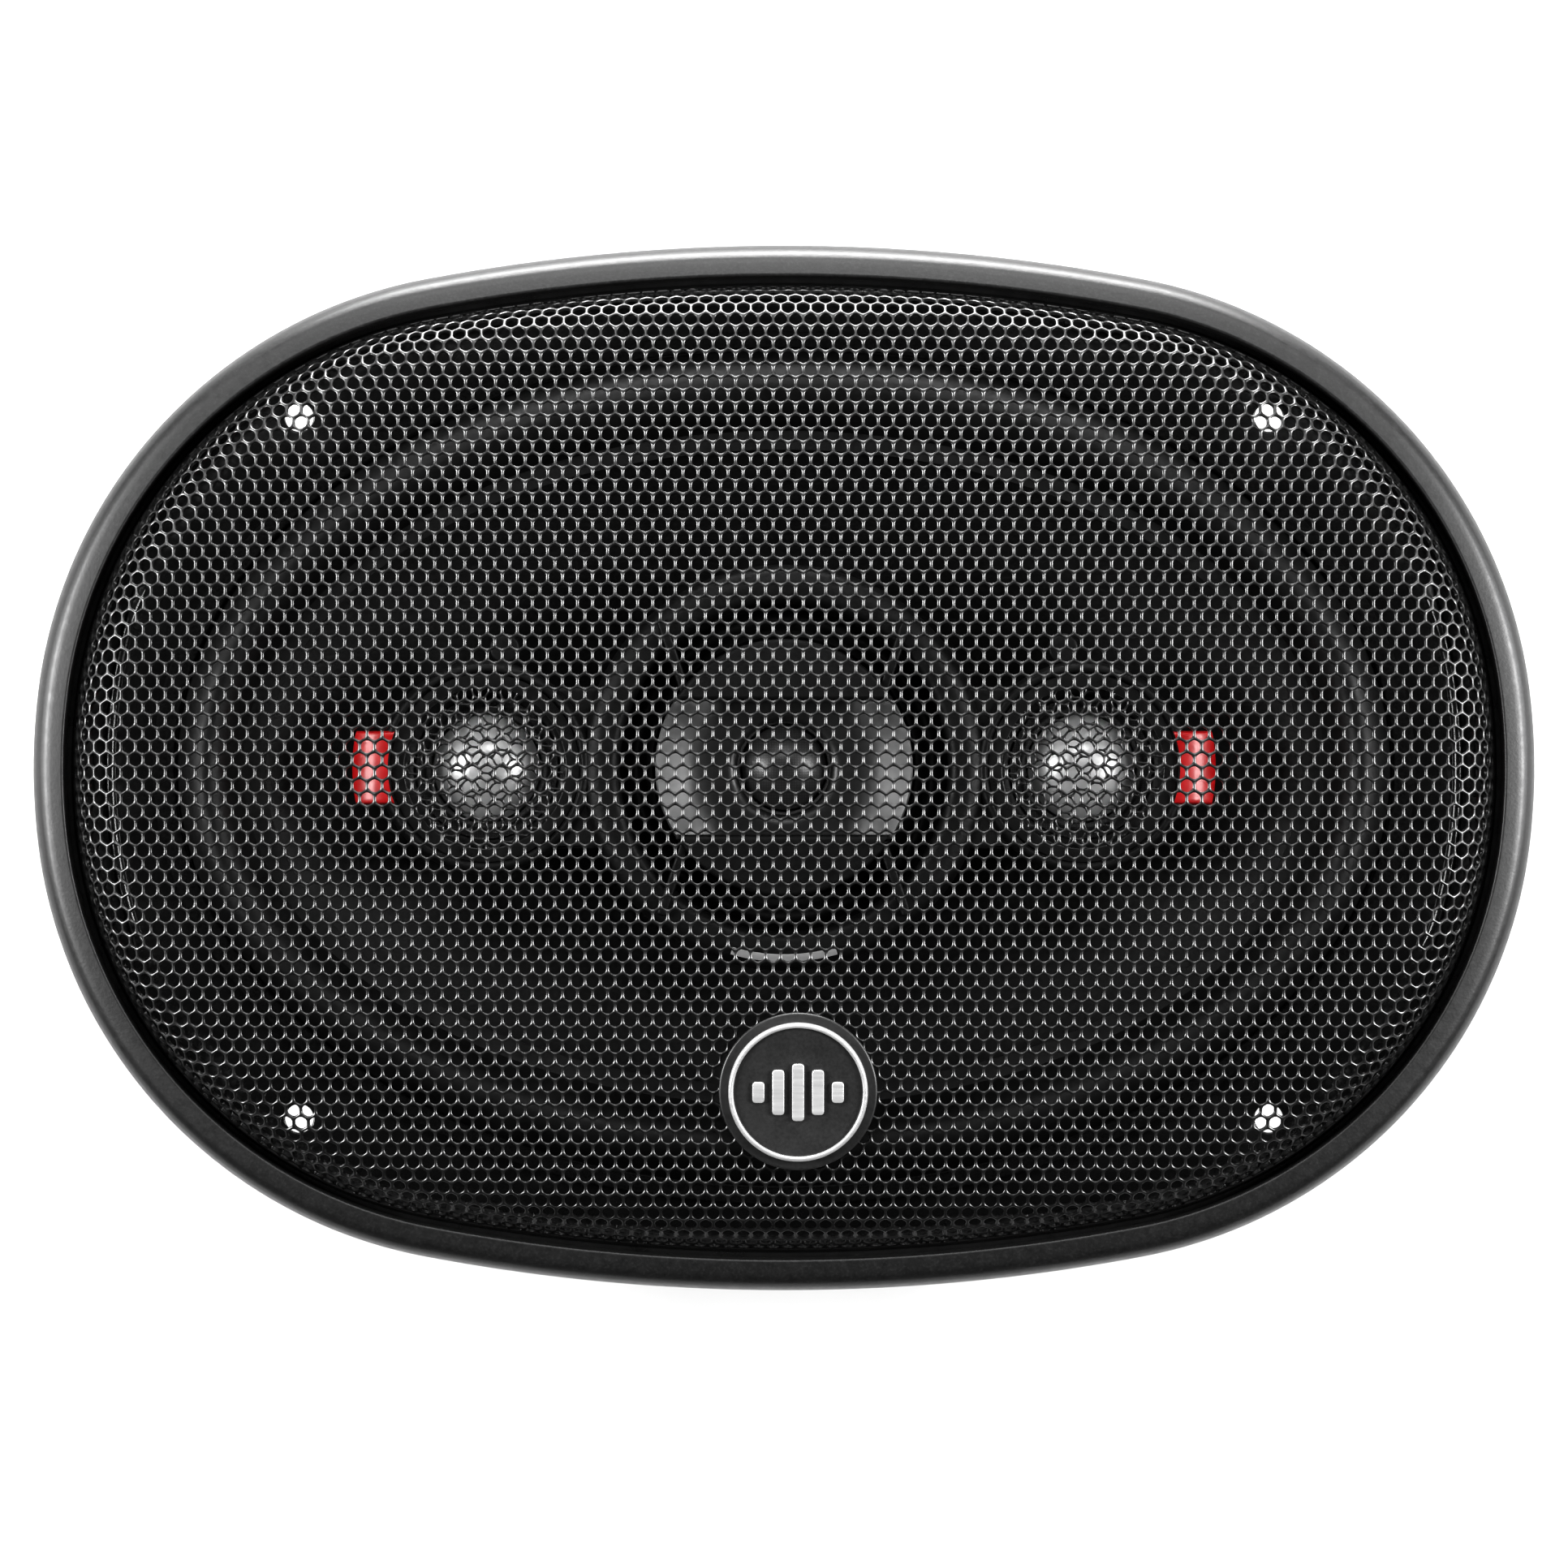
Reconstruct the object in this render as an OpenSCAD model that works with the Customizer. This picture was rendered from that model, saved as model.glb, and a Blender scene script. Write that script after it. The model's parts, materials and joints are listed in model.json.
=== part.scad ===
// Coaxial car speaker: a four-way oval driver with a mounting flange, a snap-off grille and a
// post-mounted bridge that carries the midrange and three dome tweeters.
// Origin: centre of the four mounting holes, on the rear face of the flange. +Z faces the listener,
// X runs along the oval. Millimetres.

/* [Outline] */
// Half length of the grille frame, along X
half_length = 118.5; // [110:0.5:125]
// Half width of the grille frame, along Y
half_width = 82.5; // [78:0.5:86]
// Radius of the long upper and lower sides
side_r = 305; // [280:5:340]
// Radius of the two short ends
end_r = 100; // [92:1:112]
// Radius of the four corners
corner_r = 75.5; // [72:0.5:78]

/* [Mounting] */
// Spacing of the mounting holes along X
hole_span_x = 153.5; // [151:0.5:156]
// Spacing of the mounting holes along Y
hole_span_y = 111; // [109:0.5:113]
// Radius of a mounting hole
hole_r = 2.25; // [2:0.05:2.5]
// Sheet thickness of the basket
sheet = 1.2; // [1:0.1:1.4]
// Distance from the grille frame's outline in to the flange's edge
flange_inset = 4.5; // [4.4:0.1:5]

/* [Motor] */
// Depth from the flange's rear face to the back of the magnet yoke
motor_depth = 78; // [78:0.5:82]
// Outer radius of the ring magnet
magnet_r = 48; // [44:0.5:49]
// Radius of the woofer's pole piece
pole_r = 14.8; // [14.6:0.05:14.9]
// Inner radius of the woofer's voice coil former
former_r = 15.25; // [15.2:0.05:15.3]

/* [Woofer] */
// Half length of the cone's rim
cone_a = 84.4; // [82:0.2:86]
// Half width of the cone's rim
cone_b = 52.8; // [51:0.2:54]
// Height of the surround's roll above the flange's front face
roll_h = 6; // [4:0.5:7]

/* [Bridge] */
// Outer radius of the centre housing
hub_r = 32; // [31.5:0.25:33]
// Radius of the opening in the centre housing
hub_opening_r = 25.8; // [25.6:0.1:26.4]
// Distance from the axis to the centre of a side tweeter
pod_x = 47; // [46.5:0.25:48]
// Outer radius of a side tweeter's pod
pod_r = 16.8; // [16.6:0.1:17.2]
// Half height of the web between the centre housing and a pod
web_half = 12.8; // [12:0.2:13.5]
// Radius of the disc that carries the centre tweeter
horn_r = 20.2; // [19.5:0.1:20.8]

/* [Grille] */
// Height of the grille mesh at its middle
mesh_top = 19.5; // [18.5:0.5:24]
// Place of the badge along X
badge_x = 2.2; // [-3:0.1:3]
// Place of the badge along Y
badge_y = -50.3; // [-52:0.1:-48]
// Outer radius of the badge's bright ring
badge_r = 10.9; // [9:0.1:12]

/* [Hidden] */

$fn = 96;
LEFT = -1;
RIGHT = 1;
eps = 0.01;
// Steps along the end, corner and side arcs of a quarter outline
OVAL_STEPS = [3, 13, 6];
// Steps round an ellipse
ELLIPSE_STEPS = 72;

// The arc centres of the outline: an end circle and a side circle, and a corner circle inside both
end_x = half_length - end_r;
side_y = half_width - side_r;
centre_gap = norm([end_x, side_y]);
toward_end = [end_x, -side_y] / centre_gap;
along = (pow(side_r - corner_r, 2) - pow(end_r - corner_r, 2) + pow(centre_gap, 2)) / (2 * centre_gap);
aside = sqrt(pow(side_r - corner_r, 2) - pow(along, 2));
corner = [0, side_y] + along * toward_end + aside * [toward_end.y, -toward_end.x];
end_angle = atan2(corner.y, corner.x - end_x);
side_angle = atan2(corner.y - side_y, corner.x);

// Heights in the motor, from the back forward
yoke_back = -motor_depth;
yoke_front = yoke_back + 6;
magnet_front = yoke_front + 17;
plate_front = magnet_front + 5;
floor_front = plate_front + sheet;
landing_z = -38.6;
// Heights of the bridge: underside of its shells, their seam, the hub's face and a pod's face
shell_back = -1;
seam_z = 3;
hub_face = 11;
pod_face = 10.5;
pod_floor = -4;
// Places of the four screws that hold the bridge shells together
screw_x = 31;
screw_y = 10;
// The grille: underside of the frame's lip, and where the mesh's dome starts
lip_z = 3.6;
mesh_t = 0.8;
dome_inset = 16.5;
dome_z = 14.8;
badge_z = dome_z + (mesh_top - dome_z) * 0.42;
badge_tilt = 5;

// ---------------------------------------------------------------- outlines

function arc(c, r, from, to, steps) =
    [for (i = [0:steps - 1]) let (a = from + (to - from) * i / steps) c + r * [cos(a), sin(a)]];
function quarter(d) = concat(
    arc([end_x, 0], end_r - d, 0, end_angle, OVAL_STEPS[0]),
    arc(corner, corner_r - d, end_angle, side_angle, OVAL_STEPS[1]),
    arc([0, side_y], side_r - d, side_angle, 90, OVAL_STEPS[2]));
function turned_back(points, sx, sy) =
    [for (i = [len(points) - 1:-1:0]) [sx * points[i].x, sy * points[i].y]];
// The oval outline, moved in by d all round, counterclockwise from the +X end
function oval(d) = let (
    q = quarter(d),
    top = [0, half_width - d],
    tail = [for (i = [1:len(q) - 1]) q[i]],
    upper = concat(q, [top], turned_back(tail, -1, 1)))
    concat(upper, [for (p = upper) -p]);
function ellipse(a, b) =
    [for (i = [0:ELLIPSE_STEPS - 1]) let (t = 360 * i / ELLIPSE_STEPS) [a * cos(t), b * sin(t)]];
function lifted(points, z) = [for (p = points) [p.x, p.y, z]];
function mix(a, b, t) = a + (b - a) * t;

// A closed ring swept through a loop of sections, each a closed curve with the same number of points.
// The loop runs outward along the underside and back inward along the top.
module ring_sweep(sections) {
    m = len(sections);
    n = len(sections[0]);
    points = [for (s = sections) for (p = s) p];
    faces = [for (j = [0:m - 1]) for (i = [0:n - 1])
        let (k = (j + 1) % m, l = (i + 1) % n)
        for (f = [[j * n + i, k * n + i, k * n + l], [j * n + i, k * n + l, j * n + l]]) f];
    polyhedron(points, faces);
}

// A solid stacked from sections and closed at both ends
module stack(sections) {
    m = len(sections);
    n = len(sections[0]);
    points = [for (s = sections) for (p = s) p];
    sides = [for (j = [0:m - 2]) for (i = [0:n - 1])
        let (l = (i + 1) % n)
        for (f = [[j * n + i, (j + 1) * n + i, (j + 1) * n + l], [j * n + i, (j + 1) * n + l, j * n + l]]) f];
    polyhedron(points, concat([[for (i = [0:n - 1]) i]], sides,
        [[for (i = [n - 1:-1:0]) (m - 1) * n + i]]));
}

// A round tube along a route of points
module tube_along(route, r, sides = 8) {
    last = len(route) - 1;
    stack([for (k = [0:last])
        let (
            d = route[min(k + 1, last)] - route[max(k - 1, 0)],
            t = d / norm(d),
            u = cross(t, abs(t.x) > 0.9 ? [0, 1, 0] : [1, 0, 0]),
            v = u / norm(u),
            w = cross(t, v))
        [for (i = [0:sides - 1]) let (a = 360 * i / sides) route[k] + r * (cos(a) * v - sin(a) * w)]]);
}

// A flat ring, or a disc when r_in is 0, between two heights
module washer(r_out, r_in, z0, z1) {
    difference() {
        translate([0, 0, z0])
            cylinder(r = r_out, h = z1 - z0);
        if (r_in > 0)
            translate([0, 0, z0 - 1])
                cylinder(r = r_in, h = z1 - z0 + 2);
    }
}

module rod(r, z0, z1) {
    translate([0, 0, z0])
        cylinder(r = r, h = z1 - z0);
}

// A shell of revolution from pairs of [radius, height] along its front, dropped by its thickness
module thin_turned(profile, t) {
    back = [for (i = [len(profile) - 1:-1:0]) [profile[i].x, profile[i].y - t]];
    rotate_extrude()
        polygon(concat(profile, back));
}

// ---------------------------------------------------------------- basket and woofer

clip_angles = [for (s = [1, -1]) for (a = [80.5, 99.5]) s * a];
// The middle of each grille clip's peg and the direction it faces
clip_places = concat(
    [for (a = clip_angles) [[0, sign(a) * side_y] + (side_r - 7.7) * [cos(a), sin(a)], a]],
    [for (s = [0, 180]) [(half_length - 7.7) * [cos(s), 0], s]]);

module at_clips() {
    for (c = clip_places)
        translate([c[0].x, c[0].y, 0])
            rotate([0, 0, c[1]])
                children();
}

rivet_ring = 30;
module at_rivets() {
    for (a = [45:90:315])
        rotate([0, 0, a])
            translate([rivet_ring, 0, 0])
                children();
}

module basket_wall() {
    outer = [[48, 48, -39], [53.2, 51.2, -36], [98.2, 68.4, -10], [99, 69, 0.6]];
    inner = [[97.8, 67.8, 0.6], [97, 67.2, -9.4], [52, 50, -35], [47, 47, -37.8]];
    ring_sweep([for (s = concat(outer, inner)) lifted(ellipse(s[0], s[1]), s[2])]);
}

// The open windows between the basket's eight spokes
module basket_windows() {
    for (a = [22.5:45:337.5])
        rotate([0, 0, a])
            translate([0, 0, -33.5])
                linear_extrude(20.5)
                    polygon([[30, -7], [110, -30], [110, 30], [30, 7]]);
}

module basket() color("black") {
    difference() {
        linear_extrude(sheet)
            difference() {
                polygon(oval(flange_inset));
                polygon(ellipse(96.4, 66.5));
            }
        for (x = [-0.5, 0.5]) for (y = [-0.5, 0.5])
            translate([x * hole_span_x, y * hole_span_y, -1])
                cylinder(r = hole_r, h = sheet + 2);
        at_clips()
            translate([-1, -3.3, -1])
                cube([2, 6.6, sheet + 2]);
    }
    flange_beads();
    difference() {
        basket_wall();
        basket_windows();
    }
    washer(48.2, 40.5, landing_z - 1, landing_z);
    difference() {
        washer(41.5, 17.5, plate_front, landing_z - 1 + eps);
        rod(40.5, floor_front, landing_z);
        at_rivets()
            rod(2.1, plate_front - 1, floor_front + 1);
    }
    terminal_tab();
}

// A stiffening bead pressed up along each end of the flange
module flange_beads()
    translate([0, 0, sheet - eps])
        linear_extrude(1)
            intersection() {
                difference() {
                    polygon(oval(10.8));
                    polygon(oval(12.8));
                }
                for (s = [LEFT, RIGHT])
                    translate([s * 100 - 15, -30])
                        square([30, 60]);
            }

// The bent tab on the basket that holds the terminal block
module terminal_tab() {
    translate([-10, -52, landing_z - 1])
        cube([20, 8, 1]);
    difference() {
        translate([-10, -52, landing_z - 8])
            cube([20, 1.2, 8]);
        for (x = [-7.5, 7.5])
            translate([x, -53, landing_z - 5])
                rotate([-90, 0, 0])
                    cylinder(r = 1.1, h = 4);
    }
}

module front_gasket() color([0.16, 0.16, 0.17])
    translate([0, 0, sheet + 0.8])
        linear_extrude(1.6)
            difference() {
                polygon(ellipse(99.8, 69));
                polygon(ellipse(96.3, 66.4));
            }

// The surround's front line, from its outer edge to its inner lip, as [half length, half width, height]
roll_out = [96.2, 66.2];
roll_in = [85.6, 53.4];
surround_front = concat(
    [[99.4, 68.6, sheet + 0.8]],
    [for (i = [0:8]) let (t = i / 8, p = mix(roll_out, roll_in, t))
        [p.x, p.y, mix(sheet + 0.8, 0.9, t) + roll_h * pow(sin(180 * t), 0.8)]],
    [[82.2, 50.4, 0.7]]);

module surround() color([0.12, 0.12, 0.13])
    ring_sweep([
        for (s = surround_front) lifted(ellipse(s[0], s[1]), s[2]),
        for (i = [len(surround_front) - 1:-1:0])
            let (s = surround_front[i]) lifted(ellipse(s[0], s[1]), s[2] - 0.8)]);

// The cone's front line, from its neck to its rim
neck_r = former_r + 0.25;
cone_front = [for (i = [0:9]) let (t = i / 9)
    [mix(neck_r, cone_a, t), mix(neck_r, cone_b, t), -34 + 33.2 * pow(t, 0.94)]];

module woofer_cone() color([0.1, 0.1, 0.11])
    ring_sweep([
        for (s = cone_front) lifted(ellipse(s[0], s[1]), s[2] - 1.4),
        for (i = [len(cone_front) - 1:-1:0])
            let (s = cone_front[i]) lifted(ellipse(s[0], s[1]), s[2] - 0.6)]);

module spider() color([0.75, 0.6, 0.3]) {
    pleats = [for (i = [0:20]) [mix(15.8, 39.4, i / 20), -37.6 + 1.1 * sin(90 * i)]];
    thin_turned(concat(pleats, [[41.2, landing_z + 0.5], [46.4, landing_z + 0.5]]), 0.5);
}

module voice_coil_former() color([0.75, 0.72, 0.6])
    washer(former_r + 0.2, former_r, -58, -33.5);

module voice_coil() color([0.72, 0.42, 0.2])
    washer(former_r + 0.7, former_r + 0.2, -57, -48);

module top_plate() color([0.6, 0.62, 0.64])
    difference() {
        washer(magnet_r - 2, former_r + 1.1, magnet_front, plate_front);
        at_rivets()
            rod(2.1, magnet_front - 1, plate_front + 1);
    }

module magnet() color([0.18, 0.18, 0.19])
    rotate_extrude()
        polygon([
            [23, yoke_front], [magnet_r - 1, yoke_front], [magnet_r, yoke_front + 1],
            [magnet_r, magnet_front - 1], [magnet_r - 1, magnet_front], [23, magnet_front]]);

groove_w = 4;
module t_yoke() color([0.6, 0.62, 0.64])
    difference() {
        union() {
            rod(magnet_r - 2, yoke_back, yoke_front);
            rod(pole_r, yoke_front, plate_front);
        }
        rod(5.2, yoke_back - 1, plate_front + 1);
        rod(10.5, yoke_back - 1, yoke_back + 7);
        translate([-groove_w / 2, -magnet_r, yoke_back - 1])
            cube([groove_w, magnet_r, 4]);
    }

module motor_rivets() color("silver")
    at_rivets() {
        rod(2, magnet_front, floor_front);
        rod(3.8, floor_front, floor_front + 1.2);
    }

// ---------------------------------------------------------------- terminals and wiring

module terminal_block() color([0.25, 0.14, 0.08])
    difference() {
        translate([-14, -54, landing_z - 9.5])
            cube([28, 2, 10]);
        for (x = [-7.5, 7.5])
            translate([x, -55, landing_z - 5])
                rotate([-90, 0, 0])
                    cylinder(r = 1.1, h = 4);
    }

module terminal_rivets() color("gold")
    for (x = [-7.5, 7.5])
        translate([x, 0, landing_z - 5])
            rotate([90, 0, 0]) {
                translate([0, 0, 50.8])
                    cylinder(r = 1, h = 4.2);
                translate([0, 0, 55])
                    cylinder(r = 2, h = 0.8);
            }

// A blade terminal of width w: its foot lies on the block and its blade runs on past the block's edge
module blade(x, w) {
    difference() {
        translate([x - w / 2, -54.8, landing_z - 20])
            cube([w, 0.8, 20.2]);
        translate([x, -56, landing_z - 5])
            rotate([-90, 0, 0])
                cylinder(r = 1.05, h = 3);
        translate([x, -56, landing_z - 16])
            rotate([-90, 0, 0])
                cylinder(r = 0.8, h = 3);
    }
}

module positive_terminal() color("gold")
    blade(7.5, 6.3);

module negative_terminal() color("gold")
    blade(-7.5, 4.8);

capacitor_turn = 42;
module crossover_capacitors() color([0.12, 0.3, 0.6])
    for (s = [LEFT, RIGHT])
        rotate([0, 0, s * capacitor_turn])
            translate([-8, -46, landing_z - 5.8])
                rotate([0, 90, 0])
                    cylinder(r = 4, h = 16);

// Each lead runs from the back of the cone over the spider, out of a window and down to its terminal
lead_x = 9;
lead_route = [
    [0, -26, -25.35], [0, -26.6, -27.8], [0, -28.2, -30], [0, -30.6, -31.6], [0, -33.4, -32.3], [0, -37, -32.2],
    [0, -41, -31.4], [0, -45, -31], [0, -49, -31.2], [0, -53, -32.4], [0, -55.4, -34.6],
    [0, -55.8, -36.6], [0, -55.6, -38.6]];
module tinsel_leads() color([0.7, 0.5, 0.25])
    for (s = [LEFT, RIGHT])
        translate([s * lead_x, 0, 0])
            tube_along(lead_route, 0.7);

// The bridge's two wires run down inside the post, along the yoke's groove and up to the block
wire_route = [
    [0, 0, -20.2], [0, 0, -40], [0, 0, -60], [0, 0, -73.5], [0, -0.6, -75.4], [0, -2, -76.4],
    [0, -5, -76.6], [0, -20, -76.6], [0, -40, -76.6], [0, -45, -76.3], [0, -48, -75],
    [0, -49.2, -73], [0, -49.4, -70], [0, -49.4, -58], [0, -49.4, -50], [0, -50, -46], [0, -50, -42]];
module bridge_wires() color([0.6, 0.08, 0.06])
    for (s = [LEFT, RIGHT])
        translate([s * 0.85, 0, 0])
            tube_along(wire_route, 0.65);

// ---------------------------------------------------------------- bridge

module bridge_post() color("silver")
    washer(5, 2.5, yoke_back + 3, -20);

module post_washer() color("silver")
    washer(8, 5.1, yoke_back + 6, yoke_back + 7);

module post_nut() color("silver")
    difference() {
        translate([0, 0, yoke_back + 3.2])
            cylinder(r = 8, h = 2.8, $fn = 6);
        rod(5, yoke_back, yoke_front + 2);
    }

module at_pods() {
    for (s = [LEFT, RIGHT])
        translate([s * pod_x, 0, 0])
            children();
}

module at_bridge_screws() {
    for (x = [LEFT, RIGHT]) for (y = [-1, 1])
        translate([x * screw_x, y * screw_y, 0])
            children();
}

nose_half = 5.4;
module bridge_rear_shell() color([0.12, 0.12, 0.13])
    difference() {
        union() {
            rotate_extrude()
                polygon([
                    [0, -27], [7.5, -27], [7.5, -22.5], [18.4, -22.5], [18.4, -13.8],
                    [29.6, -3], [hub_r, shell_back], [hub_r, seam_z], [0, seam_z]]);
            translate([-pod_x + 8, -web_half, shell_back])
                cube([2 * pod_x - 16, 2 * web_half, seam_z - shell_back]);
            at_pods() {
                rod(pod_r, shell_back, seam_z);
                rod(12.6, pod_floor - 1, shell_back);
            }
            translate([-67.4, -nose_half, 0.5])
                cube([134.8, 2 * nose_half, seam_z - 0.5]);
        }
        rotate_extrude()
            polygon([
                [0, -21], [16.9, -21], [16.9, -13.6], [26.4, -3.6], [26.4, -1.6],
                [28.4, -1.6], [28.4, seam_z + 1], [0, seam_z + 1]]);
        rod(5.05, -28, -20);
        at_pods() {
            rod(11.2, pod_floor, seam_z + 1);
            rod(15, 0, seam_z + 1);
        }
        at_bridge_screws() {
            rod(1.6, shell_back - 3, seam_z + 1);
            rod(2.8, shell_back - 3, shell_back);
        }
    }

// The profile of the hub's bezel, then of a pod's bezel
hub_bezel = [
    [hub_opening_r, seam_z], [hub_r, seam_z], [hub_r, hub_face - 2.6], [hub_r - 0.9, hub_face - 0.8],
    [hub_r - 2.6, hub_face], [hub_opening_r + 1, hub_face], [hub_opening_r, hub_face - 1]];
pod_bezel = [
    [15, seam_z], [pod_r, seam_z], [pod_r, pod_face - 1.2], [pod_r - 0.5, pod_face - 0.3],
    [pod_r - 0.9, pod_face], [15.3, pod_face], [15, pod_face - 0.4]];
accent_half = 5.75;
accent_back = 6;
module bridge_front_shell() color([0.14, 0.14, 0.15])
    difference() {
        union() {
            rotate_extrude()
                polygon(hub_bezel);
            difference() {
                translate([-pod_x + 8, -web_half, seam_z])
                    cube([2 * pod_x - 16, 2 * web_half, 6]);
                rod(hub_r - 1, seam_z - 1, hub_face);
                at_pods()
                    rod(pod_r - 1, seam_z - 1, hub_face);
            }
            at_pods()
                rotate_extrude()
                    polygon(pod_bezel);
            for (s = [LEFT, RIGHT]) {
                translate([s * 44, 18.8, seam_z])
                    cylinder(r = 2.4, h = 5.2);
                translate([s * 64.4 - 3, -nose_half, seam_z])
                    cube([6, 2 * nose_half, accent_back - seam_z - 0.1]);
            }
        }
        at_pods()
            rod(15, seam_z - 1, hub_face + 1);
        for (s = [LEFT, RIGHT])
            translate([s * 65 - 5, -accent_half - 0.1, accent_back - 0.1])
                cube([10, 2 * accent_half + 0.2, 6]);
        at_bridge_screws()
            rod(1.2, seam_z - 1, seam_z + 5);
    }

module bridge_screws() color("silver")
    at_bridge_screws() {
        rod(1.15, shell_back, seam_z + 4.5);
        rod(2.6, shell_back - 1.6, shell_back);
    }

// An accent's front in the XZ plane: highest beside its pod, and falling outward in a quarter of an ellipse
accent_front = concat(
    [[12, accent_back - 1], [12, 10.9]],
    [for (a = [0:9:90]) [14.2 + 7 * sin(a), 6.5 + 4.4 * cos(a)]],
    [[21.2, accent_back - 1]]);
module accent(side) color([0.75, 0.03, 0.05])
    translate([side * pod_x, 0, 0])
        intersection() {
            translate([0, 0, accent_back])
                linear_extrude(6)
                    difference() {
                        intersection() {
                            translate([side * -3, 0])
                                circle(r = 24);
                            translate([side * 16 - 5.5, -accent_half])
                                square([11, 2 * accent_half]);
                        }
                        circle(r = 15.2);
                    }
            rotate([90, 0, 0])
                linear_extrude(2 * accent_half + 2, center = true)
                    polygon([for (p = accent_front) [side * p.x, p.y]]);
        }

module accent_left() accent(LEFT);

module accent_right() accent(RIGHT);

// ---------------------------------------------------------------- midrange

module mid_basket() color([0.2, 0.2, 0.21])
    rotate_extrude()
        polygon([
            [15, -14], [16.4, -14], [16.4, -12.6], [25.6, -3.3], [25.6, -1.6], [27.9, -1.6],
            [27.9, 0], [24.9, 0], [24.9, -2.7], [15, -12.4]]);

module mid_yoke() color([0.6, 0.62, 0.64])
    difference() {
        rod(15, -21, -10.6);
        rod(13.3, -19, -10);
        rod(5.05, -22, -20);
    }

module mid_magnet() color([0.3, 0.3, 0.32])
    rod(10.5, -19, -13.5);

module mid_top_plate() color([0.6, 0.62, 0.64])
    rod(12, -13.5, -11);

module mid_surround() color([0.13, 0.13, 0.14]) {
    roll = [for (i = [0:10]) let (t = i / 10) [mix(21.8, 25.2, t), 0.9 + 1.5 * sin(180 * t)]];
    thin_turned(concat([[20.9, 0.9]], roll, [[27.8, 0.9]]), 0.5);
}

module mid_cone() color([0.15, 0.15, 0.16]) {
    front = [for (i = [0:6]) let (t = i / 6) [mix(12.55, 21.6, t), -8.8 + 8.8 * pow(t, 0.9)]];
    thin_turned(front, 0.6);
}

module mid_dust_cap() color([0.1, 0.1, 0.11]) {
    cap = [for (i = [0:6]) let (t = i / 6) [12.4 * t, -5.6 - 2.8 * t * t]];
    thin_turned(cap, 0.4);
}

module mid_voice_coil() color([0.72, 0.42, 0.2])
    union() {
        washer(12.5, 12.3, -16.5, -8.8);
        washer(12.9, 12.45, -16, -12);
    }

// ---------------------------------------------------------------- centre tweeter

slot_half = 10.5;
slot_floor = 9.2;
horn_back = 6;
horn_face = 14;
// The slot's floor in the XZ plane, where it flares up towards each end
slot_rise = [[12, slot_floor - 1], [21, slot_floor - 1], [21, 12.8], [20.2, 12.8], [18, 11.5], [16, 10.6],
    [14, 9.9], [12, 9.4]];
module horn_plate() color([0.3, 0.3, 0.31]) {
    for (s = [LEFT, RIGHT])
        intersection() {
            rod(horn_r, slot_floor - eps, horn_face);
            rotate([90, 0, 0])
                linear_extrude(2 * slot_half, center = true)
                    polygon([for (p = slot_rise) [s * p.x, p.y]]);
        }
    difference() {
        rod(horn_r, horn_back, horn_face);
        translate([-25, -slot_half, slot_floor])
            cube([50, 2 * slot_half, 10]);
        rod(7.4, horn_back - 1, horn_face + 1);
        rod(9.5, horn_back - 1, horn_back + 0.6);
    }
    for (x = [LEFT, RIGHT]) for (y = [-1, 1])
        horn_rib([x * 15.4, y * 11.6], [x * 19.3, y * 23.2]);
}

// One thin rib from the disc's edge out to the hub's face
module horn_rib(from, to) {
    d = to - from;
    translate([from.x, from.y, hub_face])
        rotate([0, 0, atan2(d.y, d.x)])
            translate([0, -0.8, 0])
                cube([norm(d), 1.6, 1.8]);
}

module centre_tweeter_cup() color([0.6, 0.62, 0.64])
    difference() {
        rod(9.2, -3, horn_back);
        rod(7.2, -1.8, horn_back + 1);
    }

module centre_tweeter_magnet() color([0.3, 0.3, 0.32])
    rod(5.8, -1.8, 4.4);

module centre_tweeter_surround() color([0.2, 0.2, 0.2]) {
    roll = [for (i = [0:6]) let (t = i / 6) [mix(7, 8.1, t), horn_back + 0.3 + 0.2 * sin(180 * t)]];
    thin_turned(concat(roll, [[9.2, horn_back + 0.3]]), 0.3);
}

// A dome diaphragm of rim radius r and height h above z0, with its coil former down to z1
module dome(r, h, z0, z1) {
    cap = [for (i = [0:8]) let (a = 90 * i / 8) [r * sin(a), z0 + h * cos(a)]];
    inside = [for (i = [8:-1:0]) let (a = 90 * i / 8) [(r - 0.4) * sin(a), z0 + (h - 0.4) * cos(a)]];
    rotate_extrude()
        polygon(concat(cap, inside));
    washer(r - 0.1, r - 0.3, z1, z0 + eps);
}

module centre_tweeter_dome() color([0.15, 0.15, 0.16])
    dome(6.6, 3.3, horn_back + 0.6, horn_back - 3.2);

// ---------------------------------------------------------------- side tweeters

module side_cup(side) color([0.6, 0.62, 0.64])
    translate([side * pod_x, 0, 0])
        difference() {
            rod(10.6, pod_floor, 0);
            rod(8.9, pod_floor + 1.2, 1);
        }

module side_magnet(side) color([0.3, 0.3, 0.32])
    translate([side * pod_x, 0, 0])
        rod(7.4, pod_floor + 1.2, 0.8);

module side_faceplate(side) color([0.18, 0.18, 0.19])
    translate([side * pod_x, 0, 0])
        rotate_extrude()
            polygon([[9.1, 0], [14.8, 0], [14.8, 3.4], [13.8, 3.4], [11.6, 1.5], [9.1, 1.5]]);

module side_surround(side) color([0.2, 0.2, 0.2])
    translate([side * pod_x, 0, 0])
        thin_turned(concat(
            [for (i = [0:6]) let (t = i / 6) [mix(8.75, 10, t), 1.9 + 0.4 * sin(180 * t)]],
            [[11.2, 1.9]]), 0.3);

module side_screen(side) color([0.2, 0.2, 0.2])
    translate([side * pod_x, 0, 0])
        washer(14.9, 0, 9, 9.6);

module side_dome(side) color([0.8, 0.8, 0.82])
    translate([side * pod_x, 0, 0])
        dome(8.4, 4.6, 2, -1.4);

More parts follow.
